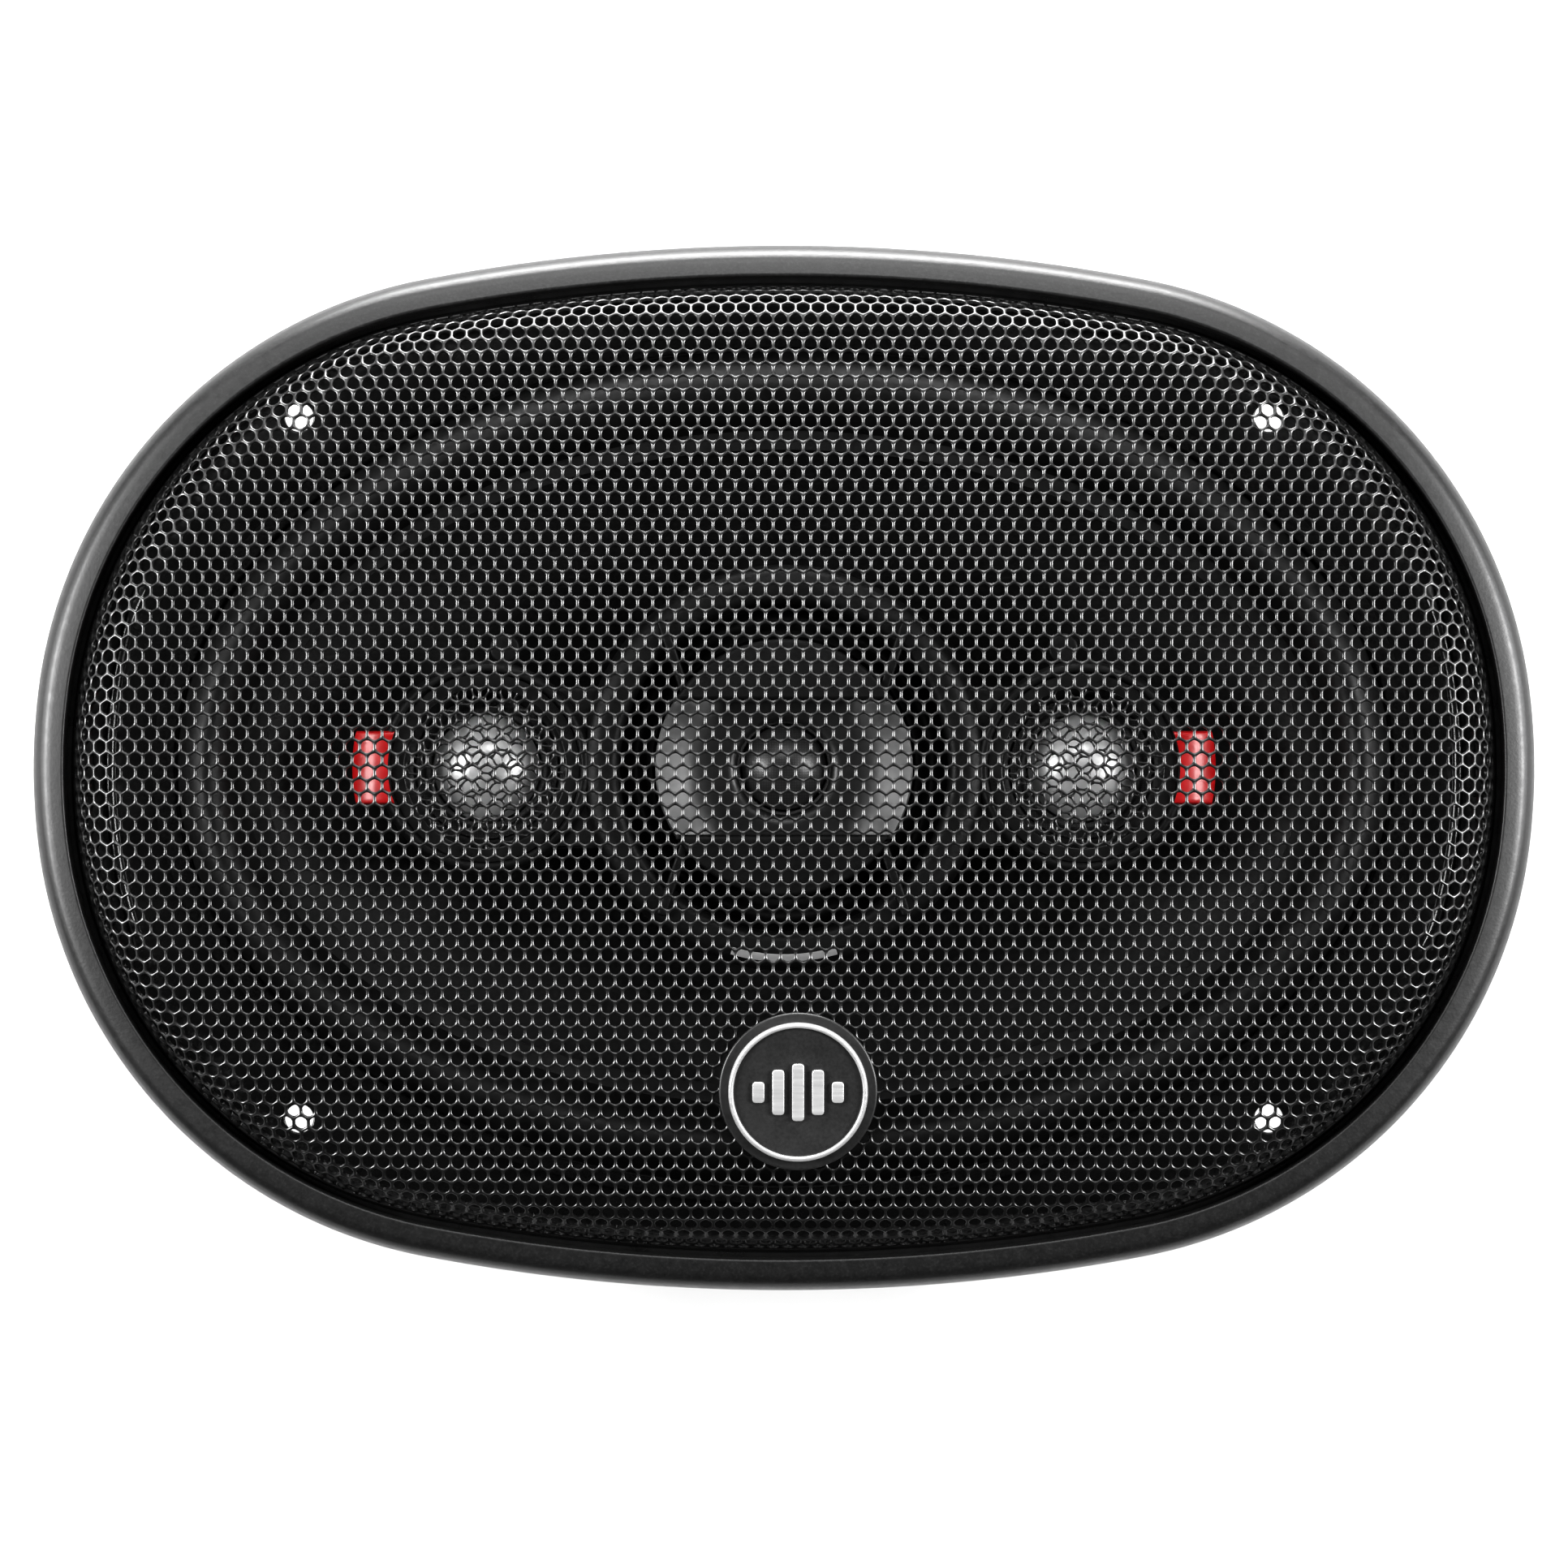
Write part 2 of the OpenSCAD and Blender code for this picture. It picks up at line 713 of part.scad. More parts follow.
module left_tweeter_cup() side_cup(LEFT);
module left_tweeter_magnet() side_magnet(LEFT);
module left_tweeter_faceplate() side_faceplate(LEFT);
module left_tweeter_surround() side_surround(LEFT);
module left_tweeter_screen() side_screen(LEFT);
module left_tweeter_dome() side_dome(LEFT);
module right_tweeter_cup() side_cup(RIGHT);
module right_tweeter_magnet() side_magnet(RIGHT);
module right_tweeter_faceplate() side_faceplate(RIGHT);
module right_tweeter_surround() side_surround(RIGHT);
module right_tweeter_screen() side_screen(RIGHT);
module right_tweeter_dome() side_dome(RIGHT);

// ---------------------------------------------------------------- grille and badge

// The frame's section, as [distance in from the outline, height]
frame_section = [
    [0, 0], [0, 4.6], [0.2, 6.2], [0.7, 7.5], [1.4, 8.35], [2.2, 8.85], [2.9, 9.05],
    [4.8, 9.4], [5.1, 9.3], [5.2, 9], [5.2, lip_z], [4.2, lip_z], [4.2, 0]];
module grille_frame() color([0.2, 0.2, 0.21])
    ring_sweep([for (s = frame_section) lifted(oval(s[0]), s[1])]);

// The mesh's front line: a flat rim, a steep roll and the start of the dome
mesh_rim = [
    [4.3, lip_z], [6.1, lip_z], [6.4, 6], [7.1, 8.8], [8.4, 11.4], [10.5, 13.3], [13.4, 14.3],
    [dome_inset, dome_z]];
mesh_under = [
    [4.3, lip_z - mesh_t], [6.9, lip_z - mesh_t], [7.2, 6], [7.9, 8.5], [9.1, 10.8],
    [11, 12.5], [13.6, 13.5], [dome_inset, dome_z - mesh_t]];
function dome_ring(s, drop) =
    [for (p = oval(dome_inset)) [s * p.x, s * p.y, mix(mesh_top, dome_z, s * s) - drop]];
module grille_mesh() color([0.13, 0.13, 0.14])
    difference() {
        stack([
            for (s = [0.02, 0.35, 0.7]) dome_ring(s, mesh_t),
            for (i = [len(mesh_under) - 1:-1:0]) lifted(oval(mesh_under[i][0]), mesh_under[i][1]),
            for (m = mesh_rim) lifted(oval(m[0]), m[1]),
            for (s = [0.7, 0.35, 0.02]) dome_ring(s, 0)]);
        at_badge_pins()
            rod(0.95, -3, 1);
    }

module grille_clips() color([0.15, 0.15, 0.16])
    at_clips() {
        translate([-1.4, -4.5, 1.6])
            cube([4.2, 9, lip_z - mesh_t - 1.6]);
        translate([-0.7, -3, -3])
            cube([1.4, 6, 4.7]);
    }

module at_badge() {
    translate([badge_x, badge_y, badge_z])
        rotate([badge_tilt, 0, 0])
            children();
}

// The badge's two pins, which push nuts hold behind the mesh
module at_badge_pins() {
    at_badge()
        for (x = [-6, 6])
            translate([x, 0, 0])
                children();
}

module badge_body() color([0.16, 0.16, 0.17]) {
    at_badge() {
        rod(12.4, 0.4, 1.3);
        rod(badge_r - 0.8, 1.3, 2.2);
    }
    at_badge_pins()
        rod(0.8, -3.2, 0.5);
}

module badge_ring() color([0.85, 0.85, 0.87])
    at_badge()
        washer(badge_r, badge_r - 0.8, 1.3, 2.8);

// Five plain bars of different heights, like the display of an equaliser
module badge_emblem() color([0.85, 0.85, 0.87])
    at_badge()
        for (i = [-2:2])
            translate([3.1 * i - 0.95, -2.6 - 1.9 * cos(60 * i), 2.2])
                cube([1.9, 5.2 + 3.8 * cos(60 * i), 0.4]);

module badge_push_nuts() color("silver")
    at_badge_pins()
        washer(2.4, 0.8, -2.4, -1.9);

basket();
front_gasket();
surround();
spider();
tinsel_leads();
top_plate();
magnet();
t_yoke();
motor_rivets();
terminal_block();
positive_terminal();
negative_terminal();
terminal_rivets();
crossover_capacitors();
bridge_wires();
bridge_post();
post_washer();
post_nut();
bridge_rear_shell();
bridge_front_shell();
bridge_screws();
accent_left();
accent_right();
mid_basket();
mid_yoke();
mid_magnet();
mid_top_plate();
mid_surround();
horn_plate();
centre_tweeter_cup();
centre_tweeter_magnet();
centre_tweeter_surround();
left_tweeter_cup();
left_tweeter_magnet();
left_tweeter_faceplate();
left_tweeter_surround();
left_tweeter_screen();
right_tweeter_cup();
right_tweeter_magnet();
right_tweeter_faceplate();
right_tweeter_surround();
right_tweeter_screen();
woofer_cone();
voice_coil_former();
voice_coil();
mid_cone();
mid_dust_cap();
mid_voice_coil();
centre_tweeter_dome();
left_tweeter_dome();
right_tweeter_dome();
grille_frame();
grille_mesh();
grille_clips();
badge_body();
badge_ring();
badge_emblem();
badge_push_nuts();
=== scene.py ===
import json
import math

import bmesh
import bpy
import numpy as np
from mathutils import Matrix, Vector


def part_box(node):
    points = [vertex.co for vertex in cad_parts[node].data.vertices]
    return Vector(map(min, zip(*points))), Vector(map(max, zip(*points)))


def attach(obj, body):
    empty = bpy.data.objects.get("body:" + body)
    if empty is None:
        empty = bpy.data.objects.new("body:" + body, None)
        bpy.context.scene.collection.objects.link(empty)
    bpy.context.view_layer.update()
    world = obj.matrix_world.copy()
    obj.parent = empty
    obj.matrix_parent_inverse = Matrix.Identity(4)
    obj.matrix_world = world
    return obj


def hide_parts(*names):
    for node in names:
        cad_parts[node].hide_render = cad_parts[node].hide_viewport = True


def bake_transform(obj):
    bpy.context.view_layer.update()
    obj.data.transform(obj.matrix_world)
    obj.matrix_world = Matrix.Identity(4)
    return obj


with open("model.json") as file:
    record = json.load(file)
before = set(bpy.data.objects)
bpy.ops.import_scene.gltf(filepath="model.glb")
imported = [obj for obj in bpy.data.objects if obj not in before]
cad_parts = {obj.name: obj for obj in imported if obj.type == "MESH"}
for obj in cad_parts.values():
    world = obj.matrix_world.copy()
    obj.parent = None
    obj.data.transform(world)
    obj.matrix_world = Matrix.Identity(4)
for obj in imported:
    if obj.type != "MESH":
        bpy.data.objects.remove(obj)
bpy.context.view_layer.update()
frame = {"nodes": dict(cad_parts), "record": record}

# A four-way oval car speaker. Shapes are worked out in millimetres, in the CAD's frame, and become metres in
# piece().
MM = 0.001
BODY = {node: body for body, nodes in frame["record"]["behaviour"]["bodies"].items() for node in nodes}


def node_box(node):
    lo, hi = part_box(node)
    return np.array(lo) / MM, np.array(hi) / MM


# ---- sizes taken from the CAD nodes

HALF_LENGTH, HALF_WIDTH, _ = node_box("grille_frame")[1]
MESH_TOP = node_box("grille_mesh")[1][2]
FLANGE_INSET = HALF_LENGTH - node_box("basket")[1][0]
YOKE_BACK = node_box("t_yoke")[0][2]
POD_X = (node_box("right_tweeter_cup")[0][0] + node_box("right_tweeter_cup")[1][0]) / 2
BADGE_LOW, BADGE_HIGH = node_box("badge_ring")
BADGE_X, BADGE_Y = (BADGE_LOW[:2] + BADGE_HIGH[:2]) / 2
BADGE_R = (BADGE_HIGH[0] - BADGE_LOW[0]) / 2
CUP_FLOOR_Z = node_box("top_plate")[1][2]

# ---- sizes shared by several parts

# Thickness of the basket's sheet, and the height of the step inside it that the spider is glued to
SHEET = 1.2
LANDING_Z = -38.6

# The outline's arcs: its two long sides, its two ends and its four corners
SIDE_R = 305.0
END_R = 100.0
CORNER_R = 75.5
# The grille: the ledge that the mesh lies on, the mesh's thickness, and the edge of its shallow dome
LIP_Z = 3.6
MESH_T = 0.6
DOME_INSET = 16.5
DOME_Z = 14.8
SIDES = ((-1, "left"), (1, "right"))


def find_corner():
    """The end, side and corner circles' centres, and the angles where the corner's arc starts and stops."""
    end = np.array([HALF_LENGTH - END_R, 0.0])
    side = np.array([0.0, HALF_WIDTH - SIDE_R])
    gap = np.linalg.norm(end - side)
    toward = (end - side) / gap
    along = ((SIDE_R - CORNER_R) ** 2 - (END_R - CORNER_R) ** 2 + gap**2) / (2 * gap)
    aside = math.sqrt((SIDE_R - CORNER_R) ** 2 - along**2)
    corner = side + along * toward + aside * np.array([toward[1], -toward[0]])
    end_angle = math.degrees(math.atan2(corner[1], corner[0] - end[0]))
    side_angle = math.degrees(math.atan2(corner[1] - side[1], corner[0]))
    return end, side, corner, end_angle, side_angle


END, SIDE, CORNER, END_ANGLE, SIDE_ANGLE = find_corner()


# ---- lines

def arc(centre, radius, start, stop, steps, endpoint=False):
    a = np.radians(np.linspace(start, stop, steps, endpoint=endpoint))
    return np.stack([centre[0] + radius * np.cos(a), centre[1] + radius * np.sin(a)], 1)


def oval(inset, steps=(8, 44, 26)):
    """The speaker's outline moved in by inset, counterclockwise from +X."""
    quarter = np.concatenate([
        arc(END, END_R - inset, 0, END_ANGLE, steps[0]),
        arc(CORNER, CORNER_R - inset, END_ANGLE, SIDE_ANGLE, steps[1]),
        arc(SIDE, SIDE_R - inset, SIDE_ANGLE, 90, steps[2]),
    ])
    top = [[0, HALF_WIDTH - inset]]
    upper = np.concatenate([quarter, top, quarter[:0:-1] * (-1, 1)])
    return np.concatenate([upper, -upper])


def ellipse(a, b, steps=240):
    t = np.linspace(0, 2 * np.pi, steps, endpoint=False)
    return np.stack([a * np.cos(t), b * np.sin(t)], 1)


def circle(r, steps=96, centre=(0, 0)):
    return ellipse(r, r, steps) + centre


def lifted(points, z):
    points = np.asarray(points, float)
    return np.column_stack([points, np.broadcast_to(z, len(points))])


def rounded(points, radius, steps=4, closed=True, flat=10):
    """The line with each corner that turns more than flat degrees rounded off."""
    points = [np.asarray(p, float) for p in points]
    n = len(points)
    made = []
    for i, p in enumerate(points):
        if not closed and i in (0, n - 1):
            made.append(p)
            continue
        back, on = points[i - 1] - p, points[(i + 1) % n] - p
        lb, lo = np.linalg.norm(back), np.linalg.norm(on)
        turn = 180 - math.degrees(math.acos(np.clip(back @ on / (lb * lo), -1, 1)))
        if turn < flat:
            made.append(p)
            continue
        cut = min(radius, 0.45 * lb, 0.45 * lo)
        a, b = p + back / lb * cut, p + on / lo * cut
        for t in np.linspace(0, 1, steps + 1):
            made.append((1 - t) ** 2 * a + 2 * t * (1 - t) * p + t**2 * b)
    return np.array(made)


def height_angle(height, radius):
    """Degrees round a circle, from +X, to the point that is height above its centre."""
    return math.degrees(math.asin(height / radius))


def turned(points, a):
    """The points turned counterclockwise by a radians."""
    return points @ np.array([[math.cos(a), math.sin(a)], [-math.sin(a), math.cos(a)]])


def mix(a, b, t):
    return a + (b - a) * t


# ---- shapes, each as (vertices, faces)

def loft(rings, closed=False):
    """A skin between rings of points. A ring of one point closes that end to a tip."""
    verts, starts, faces = [], [], []
    for ring in rings:
        starts.append(len(verts))
        verts.extend(ring)
    pairs = [(j, j + 1) for j in range(len(rings) - 1)]
    if closed:
        pairs.append((len(rings) - 1, 0))
    for j, k in pairs:
        n, m = len(rings[j]), len(rings[k])
        size = max(n, m)
        if size == 1:
            continue
        for i in range(size):
            after = (i + 1) % size
            face = [starts[j] + i % n, starts[j] + after % n, starts[k] + after % m, starts[k] + i % m]
            faces.append(tuple(dict.fromkeys(face)))
    return np.array(verts), faces


def hoop(section, outline=ellipse):
    """A closed section carried round an outline, as (the outline's measures, height) at each of its points."""
    return loft([lifted(outline(*at), z) for *at, z in section], closed=True)


def merge(*shapes):
    verts, faces, start = [], [], 0
    for v, f in shapes:
        verts.append(v)
        faces.extend(tuple(i + start for i in face) for face in f)
        start += len(v)
    return np.concatenate(verts), faces


def moved(shape, matrix):
    verts, faces = shape
    m = np.array(matrix)
    return verts @ m[:3, :3].T + m[:3, 3], faces


def shifted(shape, x=0, y=0, z=0):
    return shape[0] + (x, y, z), shape[1]


def lathe(profile, steps=96):
    """A profile of (radius, height) turned about Z. It is a loop, or it starts and ends on the axis."""
    profile = np.asarray(profile, float)
    rings = [lifted(circle(r, steps), z) if r > 1e-6 else np.array([[0, 0, z]]) for r, z in profile]
    return loft(rings, closed=profile[0][0] > 1e-6)


def signed_area(loop):
    x, y = loop[:, 0], loop[:, 1]
    return 0.5 * np.sum(x * np.roll(y, -1) - np.roll(x, -1) * y)


def pulled_in(loop, distance):
    """The loop moved to its left by distance."""
    along = np.roll(loop, -1, 0) - loop
    along /= np.linalg.norm(along, axis=1)[:, None]
    left = np.stack([-along[:, 1], along[:, 0]], 1)
    mean = left + np.roll(left, 1, 0)
    mean /= np.linalg.norm(mean, axis=1)[:, None]
    return loop + mean * (distance / np.maximum(np.sum(mean * left, 1), 0.4))[:, None]


def plate(outlines, z0, z1, edge=0.3, steps=3):
    """A flat plate with rounded edges. The first outline is its edge, and the others are its holes."""
    a = np.linspace(0, np.pi / 2, steps + 1)
    low = [(edge * (1 - math.sin(t)), z0 + edge * (1 - math.cos(t))) for t in a]
    high = [(inset, z0 + z1 - z) for inset, z in reversed(low)]
    sides, caps = [], {z0: [], z1: []}
    start = 0
    for i, outline in enumerate(outlines):
        loop = np.asarray(outline, float)
        if (signed_area(loop) > 0) != (i == 0):
            loop = loop[::-1]
        rings = [lifted(pulled_in(loop, inset), z) for inset, z in low + high]
        sides.append(loft(rings))
        n, total = len(loop), len(rings) * len(loop)
        caps[z0].append(range(start, start + n))
        caps[z1].append(range(start + total - n, start + total))
        start += total
    verts, faces = merge(*sides)
    for loops in caps.values():
        faces.extend(filled(verts, loops))
    return verts, faces


def filled(verts, loops):
    """Triangles that fill a flat outline with holes."""
    bm = bmesh.new()
    index = {}
    for loop in loops:
        ring = [bm.verts.new(verts[i]) for i in loop]
        index.update(zip(ring, loop))
        for i, v in enumerate(ring):
            bm.edges.new((v, ring[(i + 1) % len(ring)]))
    bmesh.ops.triangle_fill(bm, use_beauty=True, edges=bm.edges)
    faces = [tuple(index[v] for v in f.verts) for f in bm.faces]
    bm.free()
    return faces


def rectangle(x0, y0, x1, y1, radius=0.4):
    return rounded([(x0, y0), (x1, y0), (x1, y1), (x0, y1)], radius)


def tube(points, r, sides=12):
    """A round tube along a route, closed at both ends."""
    points = np.asarray(points, float)
    along = np.gradient(points, axis=0)
    along /= np.linalg.norm(along, axis=1)[:, None]
    side = np.array([1.0, 0, 0])
    rings = [points[:1]]
    a = np.linspace(0, 2 * np.pi, sides, endpoint=False)
    for p, t in zip(points, along):
        side = side - (side @ t) * t
        side /= np.linalg.norm(side)
        up = np.cross(t, side)
        rings.append(p + r * (np.outer(np.cos(a), side) + np.outer(np.sin(a), up)))
    rings.append(points[-1:])
    return loft(rings)


# ---- objects

def dressed(name, mesh, material, smooth):
    """An object that shows the mesh in one material, smooth where faces turn less than smooth degrees."""
    mesh.shade_smooth()
    mesh.set_sharp_from_angle(angle=math.radians(smooth))
    mesh.materials.clear()
    mesh.materials.append(material)
    obj = bpy.data.objects.new(name, mesh)
    bpy.context.scene.collection.objects.link(obj)
    return obj


def piece(name, shape, material, smooth=38):
    """A mesh object in metres from a shape in millimetres."""
    verts, faces = shape
    mesh = bpy.data.meshes.new(name)
    mesh.from_pydata((np.asarray(verts) * MM).tolist(), [], faces)
    bm = bmesh.new()
    bm.from_mesh(mesh)
    bmesh.ops.recalc_face_normals(bm, faces=bm.faces)
    bm.to_mesh(mesh)
    bm.free()
    return dressed(name, mesh, material, smooth)


def stands_for(obj, node):
    """obj is shown in a CAD node's place, with its body."""
    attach(obj, BODY[node])
    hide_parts(node)


def joins(obj, node):
    """obj is a soft ring between the chassis and a moving body, left in place with its transform baked in."""
    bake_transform(obj)
    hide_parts(node)


def refined(node, material, edge):
    """A new piece from a CAD node's own shape, with its sharp edges rounded by edge millimetres."""
    mesh = frame["nodes"][node].data.copy()
    mesh.name = node
    bm = bmesh.new()
    bm.from_mesh(mesh)
    bmesh.ops.remove_doubles(bm, verts=bm.verts, dist=0.002 * MM)
    bmesh.ops.dissolve_degenerate(bm, edges=bm.edges, dist=0.001 * MM)
    bmesh.ops.dissolve_limit(bm, angle_limit=math.radians(0.6), verts=bm.verts, edges=bm.edges)
    sharp = [e for e in bm.edges if len(e.link_faces) == 2 and e.calc_face_angle(0) > math.radians(42)]
    if edge:
        bmesh.ops.bevel(bm, geom=sharp, offset=edge * MM, segments=2, profile=0.5, affect="EDGES",
                        clamp_overlap=True)
    bmesh.ops.triangulate(bm, faces=[f for f in bm.faces if len(f.verts) > 4])
    bmesh.ops.recalc_face_normals(bm, faces=bm.faces)
    mesh.clear_geometry()
    bm.to_mesh(mesh)
    bm.free()
    return dressed(node + "_finished", mesh, material, 38)


def subtract(obj, cutter):
    """obj with the cutter's shape taken away for good."""
    change = obj.modifiers.new("cut", "BOOLEAN")
    change.operation = "DIFFERENCE"
    change.solver = "EXACT"
    change.object = cutter
    evaluated = obj.evaluated_get(bpy.context.evaluated_depsgraph_get())
    mesh = bpy.data.meshes.new_from_object(evaluated)
    obj.modifiers.clear()
    obj.data = mesh
    bpy.data.objects.remove(cutter)
    return obj


# ---- materials

class Look:
    """A procedural material. Sizes are in millimetres on the object."""

    def __init__(self, name, **shader):
        self.material = bpy.data.materials.new(name)
        self.material.use_nodes = True
        self.tree = self.material.node_tree
        self.shader = self.tree.nodes["Principled BSDF"]
        for socket, value in shader.items():
            self.shader.inputs[socket.replace("_", " ")].default_value = value
        self.place = self.tree.nodes.new("ShaderNodeTexCoord").outputs["Object"]

    def node(self, kind, inputs=(), **settings):
        made = self.tree.nodes.new(kind)
        for key, value in settings.items():
            setattr(made, key, value)
        for key, value in dict(inputs).items():
            if isinstance(value, bpy.types.NodeSocket):
                self.tree.links.new(value, made.inputs[key])
            else:
                made.inputs[key].default_value = value
        return made

    def stretched(self, scale, turn=(0, 0, 0)):
        return self.node("ShaderNodeMapping", {
            "Vector": self.place, "Scale": scale, "Rotation": [math.radians(t) for t in turn]}).outputs[0]

    def noise(self, size, detail=3, place=None, distortion=0.0):
        return self.node("ShaderNodeTexNoise", {
            "Vector": place or self.place, "Scale": 1 / (size * MM), "Detail": detail,
            "Roughness": 0.55, "Distortion": distortion}).outputs[0]

    def cells(self, size):
        return self.node("ShaderNodeTexVoronoi", {
            "Vector": self.place, "Scale": 1 / (size * MM)}, feature="F1").outputs["Distance"]

    def ridges(self, size, axis="X", distortion=0.0, place=None, kind="BANDS", detail=1.0):
        """Ridges size apart: straight ones across an axis, or RINGS about it."""
        return self.node("ShaderNodeTexWave", {
            "Vector": place or self.place, "Scale": 1 / (size * MM) * math.pi / 10, "Distortion": distortion,
            "Detail": detail}, wave_type=kind, **{kind.lower() + "_direction": axis}).outputs["Fac"]

    def weave(self, size, distortion=0.0):
        warp, weft = (self.ridges(size, axis, distortion) for axis in "XY")
        return self.combined("MULTIPLY", warp, weft)

    def ranged(self, value, low, high, start=0.3, stop=0.7):
        return self.node("ShaderNodeMapRange", {
            "Value": value, "From Min": start, "From Max": stop, "To Min": low, "To Max": high}).outputs[0]

    def combined(self, operation, a, b):
        return self.node("ShaderNodeMath", {0: a, 1: b}, operation=operation).outputs[0]

    def finished(self, colour, rough, *bumps):
        """The material. colour is a value and its stops of (position, grey or RGB), rough is a value and its
        lowest and highest roughness, and each bump is a value and its depth."""
        value, stops = colour
        ramp = self.node("ShaderNodeValToRGB", {"Fac": value})
        elements = ramp.color_ramp.elements
        elements[0].position, elements[-1].position = stops[0][0], stops[-1][0]
        for position, _ in stops[1:-1]:
            elements.new(position)
        for element, (_, tone) in zip(elements, stops):
            element.color = (*(tone if isinstance(tone, tuple) else (tone, tone, tone)), 1)
        self.tree.links.new(ramp.outputs["Color"], self.shader.inputs["Base Color"])
        self.tree.links.new(self.ranged(*rough), self.shader.inputs["Roughness"])
        normal = None
        for height, depth in bumps:
            inputs = {"Height": height, "Distance": depth * MM, "Strength": 1.0}
            if normal:
                inputs["Normal"] = normal
            normal = self.node("ShaderNodeBump", inputs).outputs["Normal"]
        self.tree.links.new(normal, self.shader.inputs["Normal"])
        return self.material


def frame_paint():
    """The grille frame: satin black paint with a fine mottle over moulded plastic."""
    look = Look("frame_paint", Coat_Weight=0.3, Coat_Roughness=0.36)
    fleck = look.noise(0.45, detail=2)
    return look.finished(
        (fleck, [(0.3, 0.003), (0.55, 0.006), (0.75, 0.014)]), (look.noise(1.4), 0.38, 0.48),
        (fleck, 0.02), (look.noise(9), 0.04))


def mesh_paint():
    """The grille mesh: thin semi-gloss black powder coat over pressed steel, worn lighter here and there."""
    look = Look("mesh_paint", Coat_Weight=0.3, Coat_Roughness=0.25, IOR=1.6)
    return look.finished(
        (look.noise(14), [(0.3, 0.003), (0.7, 0.007)]), (look.noise(2.5), 0.26, 0.36),
        (look.noise(0.25, detail=1), 0.008))


def black_steel():
    """The basket: glossy black electro-coated sheet with a light orange peel."""
    look = Look("black_steel", Coat_Weight=0.6, Coat_Roughness=0.14)
    return look.finished(
        (look.noise(22, detail=5), [(0.3, 0.002), (0.7, 0.005)]), (look.noise(5, detail=4), 0.2, 0.3),
        (look.noise(1.1, detail=2), 0.02))


def moulded(name, value):
    """Injection-moulded plastic with a fine spark-eroded grain."""
    look = Look(name, Specular_IOR_Level=0.3)
    return look.finished(
        (look.noise(11, detail=4), [(0.3, value * 0.85), (0.7, value * 1.25)]), (look.noise(3), 0.42, 0.56),
        (look.cells(0.55), 0.02), (look.noise(0.22, detail=1), 0.01))


def glossy_grey():
    """The centre tweeter's plate: smooth semi-gloss dark grey plastic with faint flow lines."""
    look = Look("glossy_grey", Specular_IOR_Level=0.8)
    flow = look.noise(9, detail=4, place=look.stretched((0.3, 1, 1)))
    return look.finished(
        (flow, [(0.3, 0.004), (0.7, 0.008)]), (flow, 0.34, 0.42), (look.noise(0.8, detail=2), 0.004))


def rubber():
    """The surround: moulded butyl rubber, faintly dusty."""
    look = Look("rubber", Specular_IOR_Level=0.35)
    return look.finished(
        (look.noise(16, detail=6), [(0.3, 0.002), (0.55, 0.004), (0.8, 0.009)]), (look.noise(4), 0.42, 0.58),
        (look.noise(0.5, detail=2), 0.02), (look.noise(3, detail=1), 0.03))


def foam():
    """The front gasket: open-cell black foam."""
    look = Look("foam", Specular_IOR_Level=0.1)
    cells = look.cells(0.7)
    return look.finished(
        (cells, [(0.0, 0.001), (0.6, 0.004)]), (look.noise(1), 0.85, 0.97),
        (cells, 0.15), (look.noise(0.3), 0.05))


def pulp():
    """The cones: pressed paper with short fibres lying every way, dyed black and lightly sized."""
    look = Look("pulp", Specular_IOR_Level=0.35)
    one = look.noise(0.7, place=look.stretched((1, 0.25, 1), (0, 0, 25)), distortion=0.6)
    two = look.noise(0.7, place=look.stretched((0.25, 1, 1), (0, 0, -35)), distortion=0.6)
    fibre = look.combined("MAXIMUM", one, two)
    return look.finished(
        (fibre, [(0.4, 0.002), (0.62, 0.005), (0.8, 0.013)]), (look.noise(6), 0.5, 0.66), (fibre, 0.09))


def spider_cloth():
    """The spider: woven cotton dipped in resin."""
    look = Look("spider_cloth")
    weave = look.weave(0.55, 0.4)
    return look.finished(
        (weave, [(0.0, (0.26, 0.13, 0.03)), (0.5, (0.5, 0.29, 0.09)), (1.0, (0.62, 0.4, 0.15))]),
        (look.noise(3), 0.6, 0.8), (weave, 0.12))


def braid():
    """Tinsel wire: fine copper strands braided round a core."""
    look = Look("braid", Metallic=0.85)
    one = look.ridges(0.5, "DIAGONAL", place=look.stretched((1, 1, 1)))
    two = look.ridges(0.5, "DIAGONAL", place=look.stretched((-1, 1, 1)))
    weave = look.combined("MULTIPLY", one, two)
    return look.finished(
        (weave, [(0.0, (0.16, 0.07, 0.03)), (1.0, (0.72, 0.4, 0.2))]), (look.noise(1), 0.35, 0.5),
        (weave, 0.1))


def zinc():
    """Zinc-plated steel, turned or blanked, with a mottled chromate film."""
    look = Look("zinc", Metallic=0.95)
    stops = [(0.3, (0.42, 0.42, 0.4)), (0.5, (0.55, 0.55, 0.53)), (0.75, (0.66, 0.65, 0.58))]
    return look.finished(
        (look.noise(7, detail=6), stops), (look.noise(2.5, detail=5), 0.3, 0.48),
        (look.ridges(0.35, "Z", 0.6, kind="RINGS", detail=2.0), 0.01), (look.noise(1.2), 0.012))


def ferrite():
    """The ring magnet: sintered ferrite, dull charcoal with small chips and grinding dust."""
    look = Look("ferrite")
    grain = look.noise(0.8, detail=6)
    dust = look.combined("MULTIPLY", grain, look.noise(12))
    return look.finished(
        (dust, [(0.12, 0.022), (0.25, 0.045), (0.42, 0.085)]), (grain, 0.62, 0.82),
        (look.cells(1.1), 0.04), (grain, 0.06))


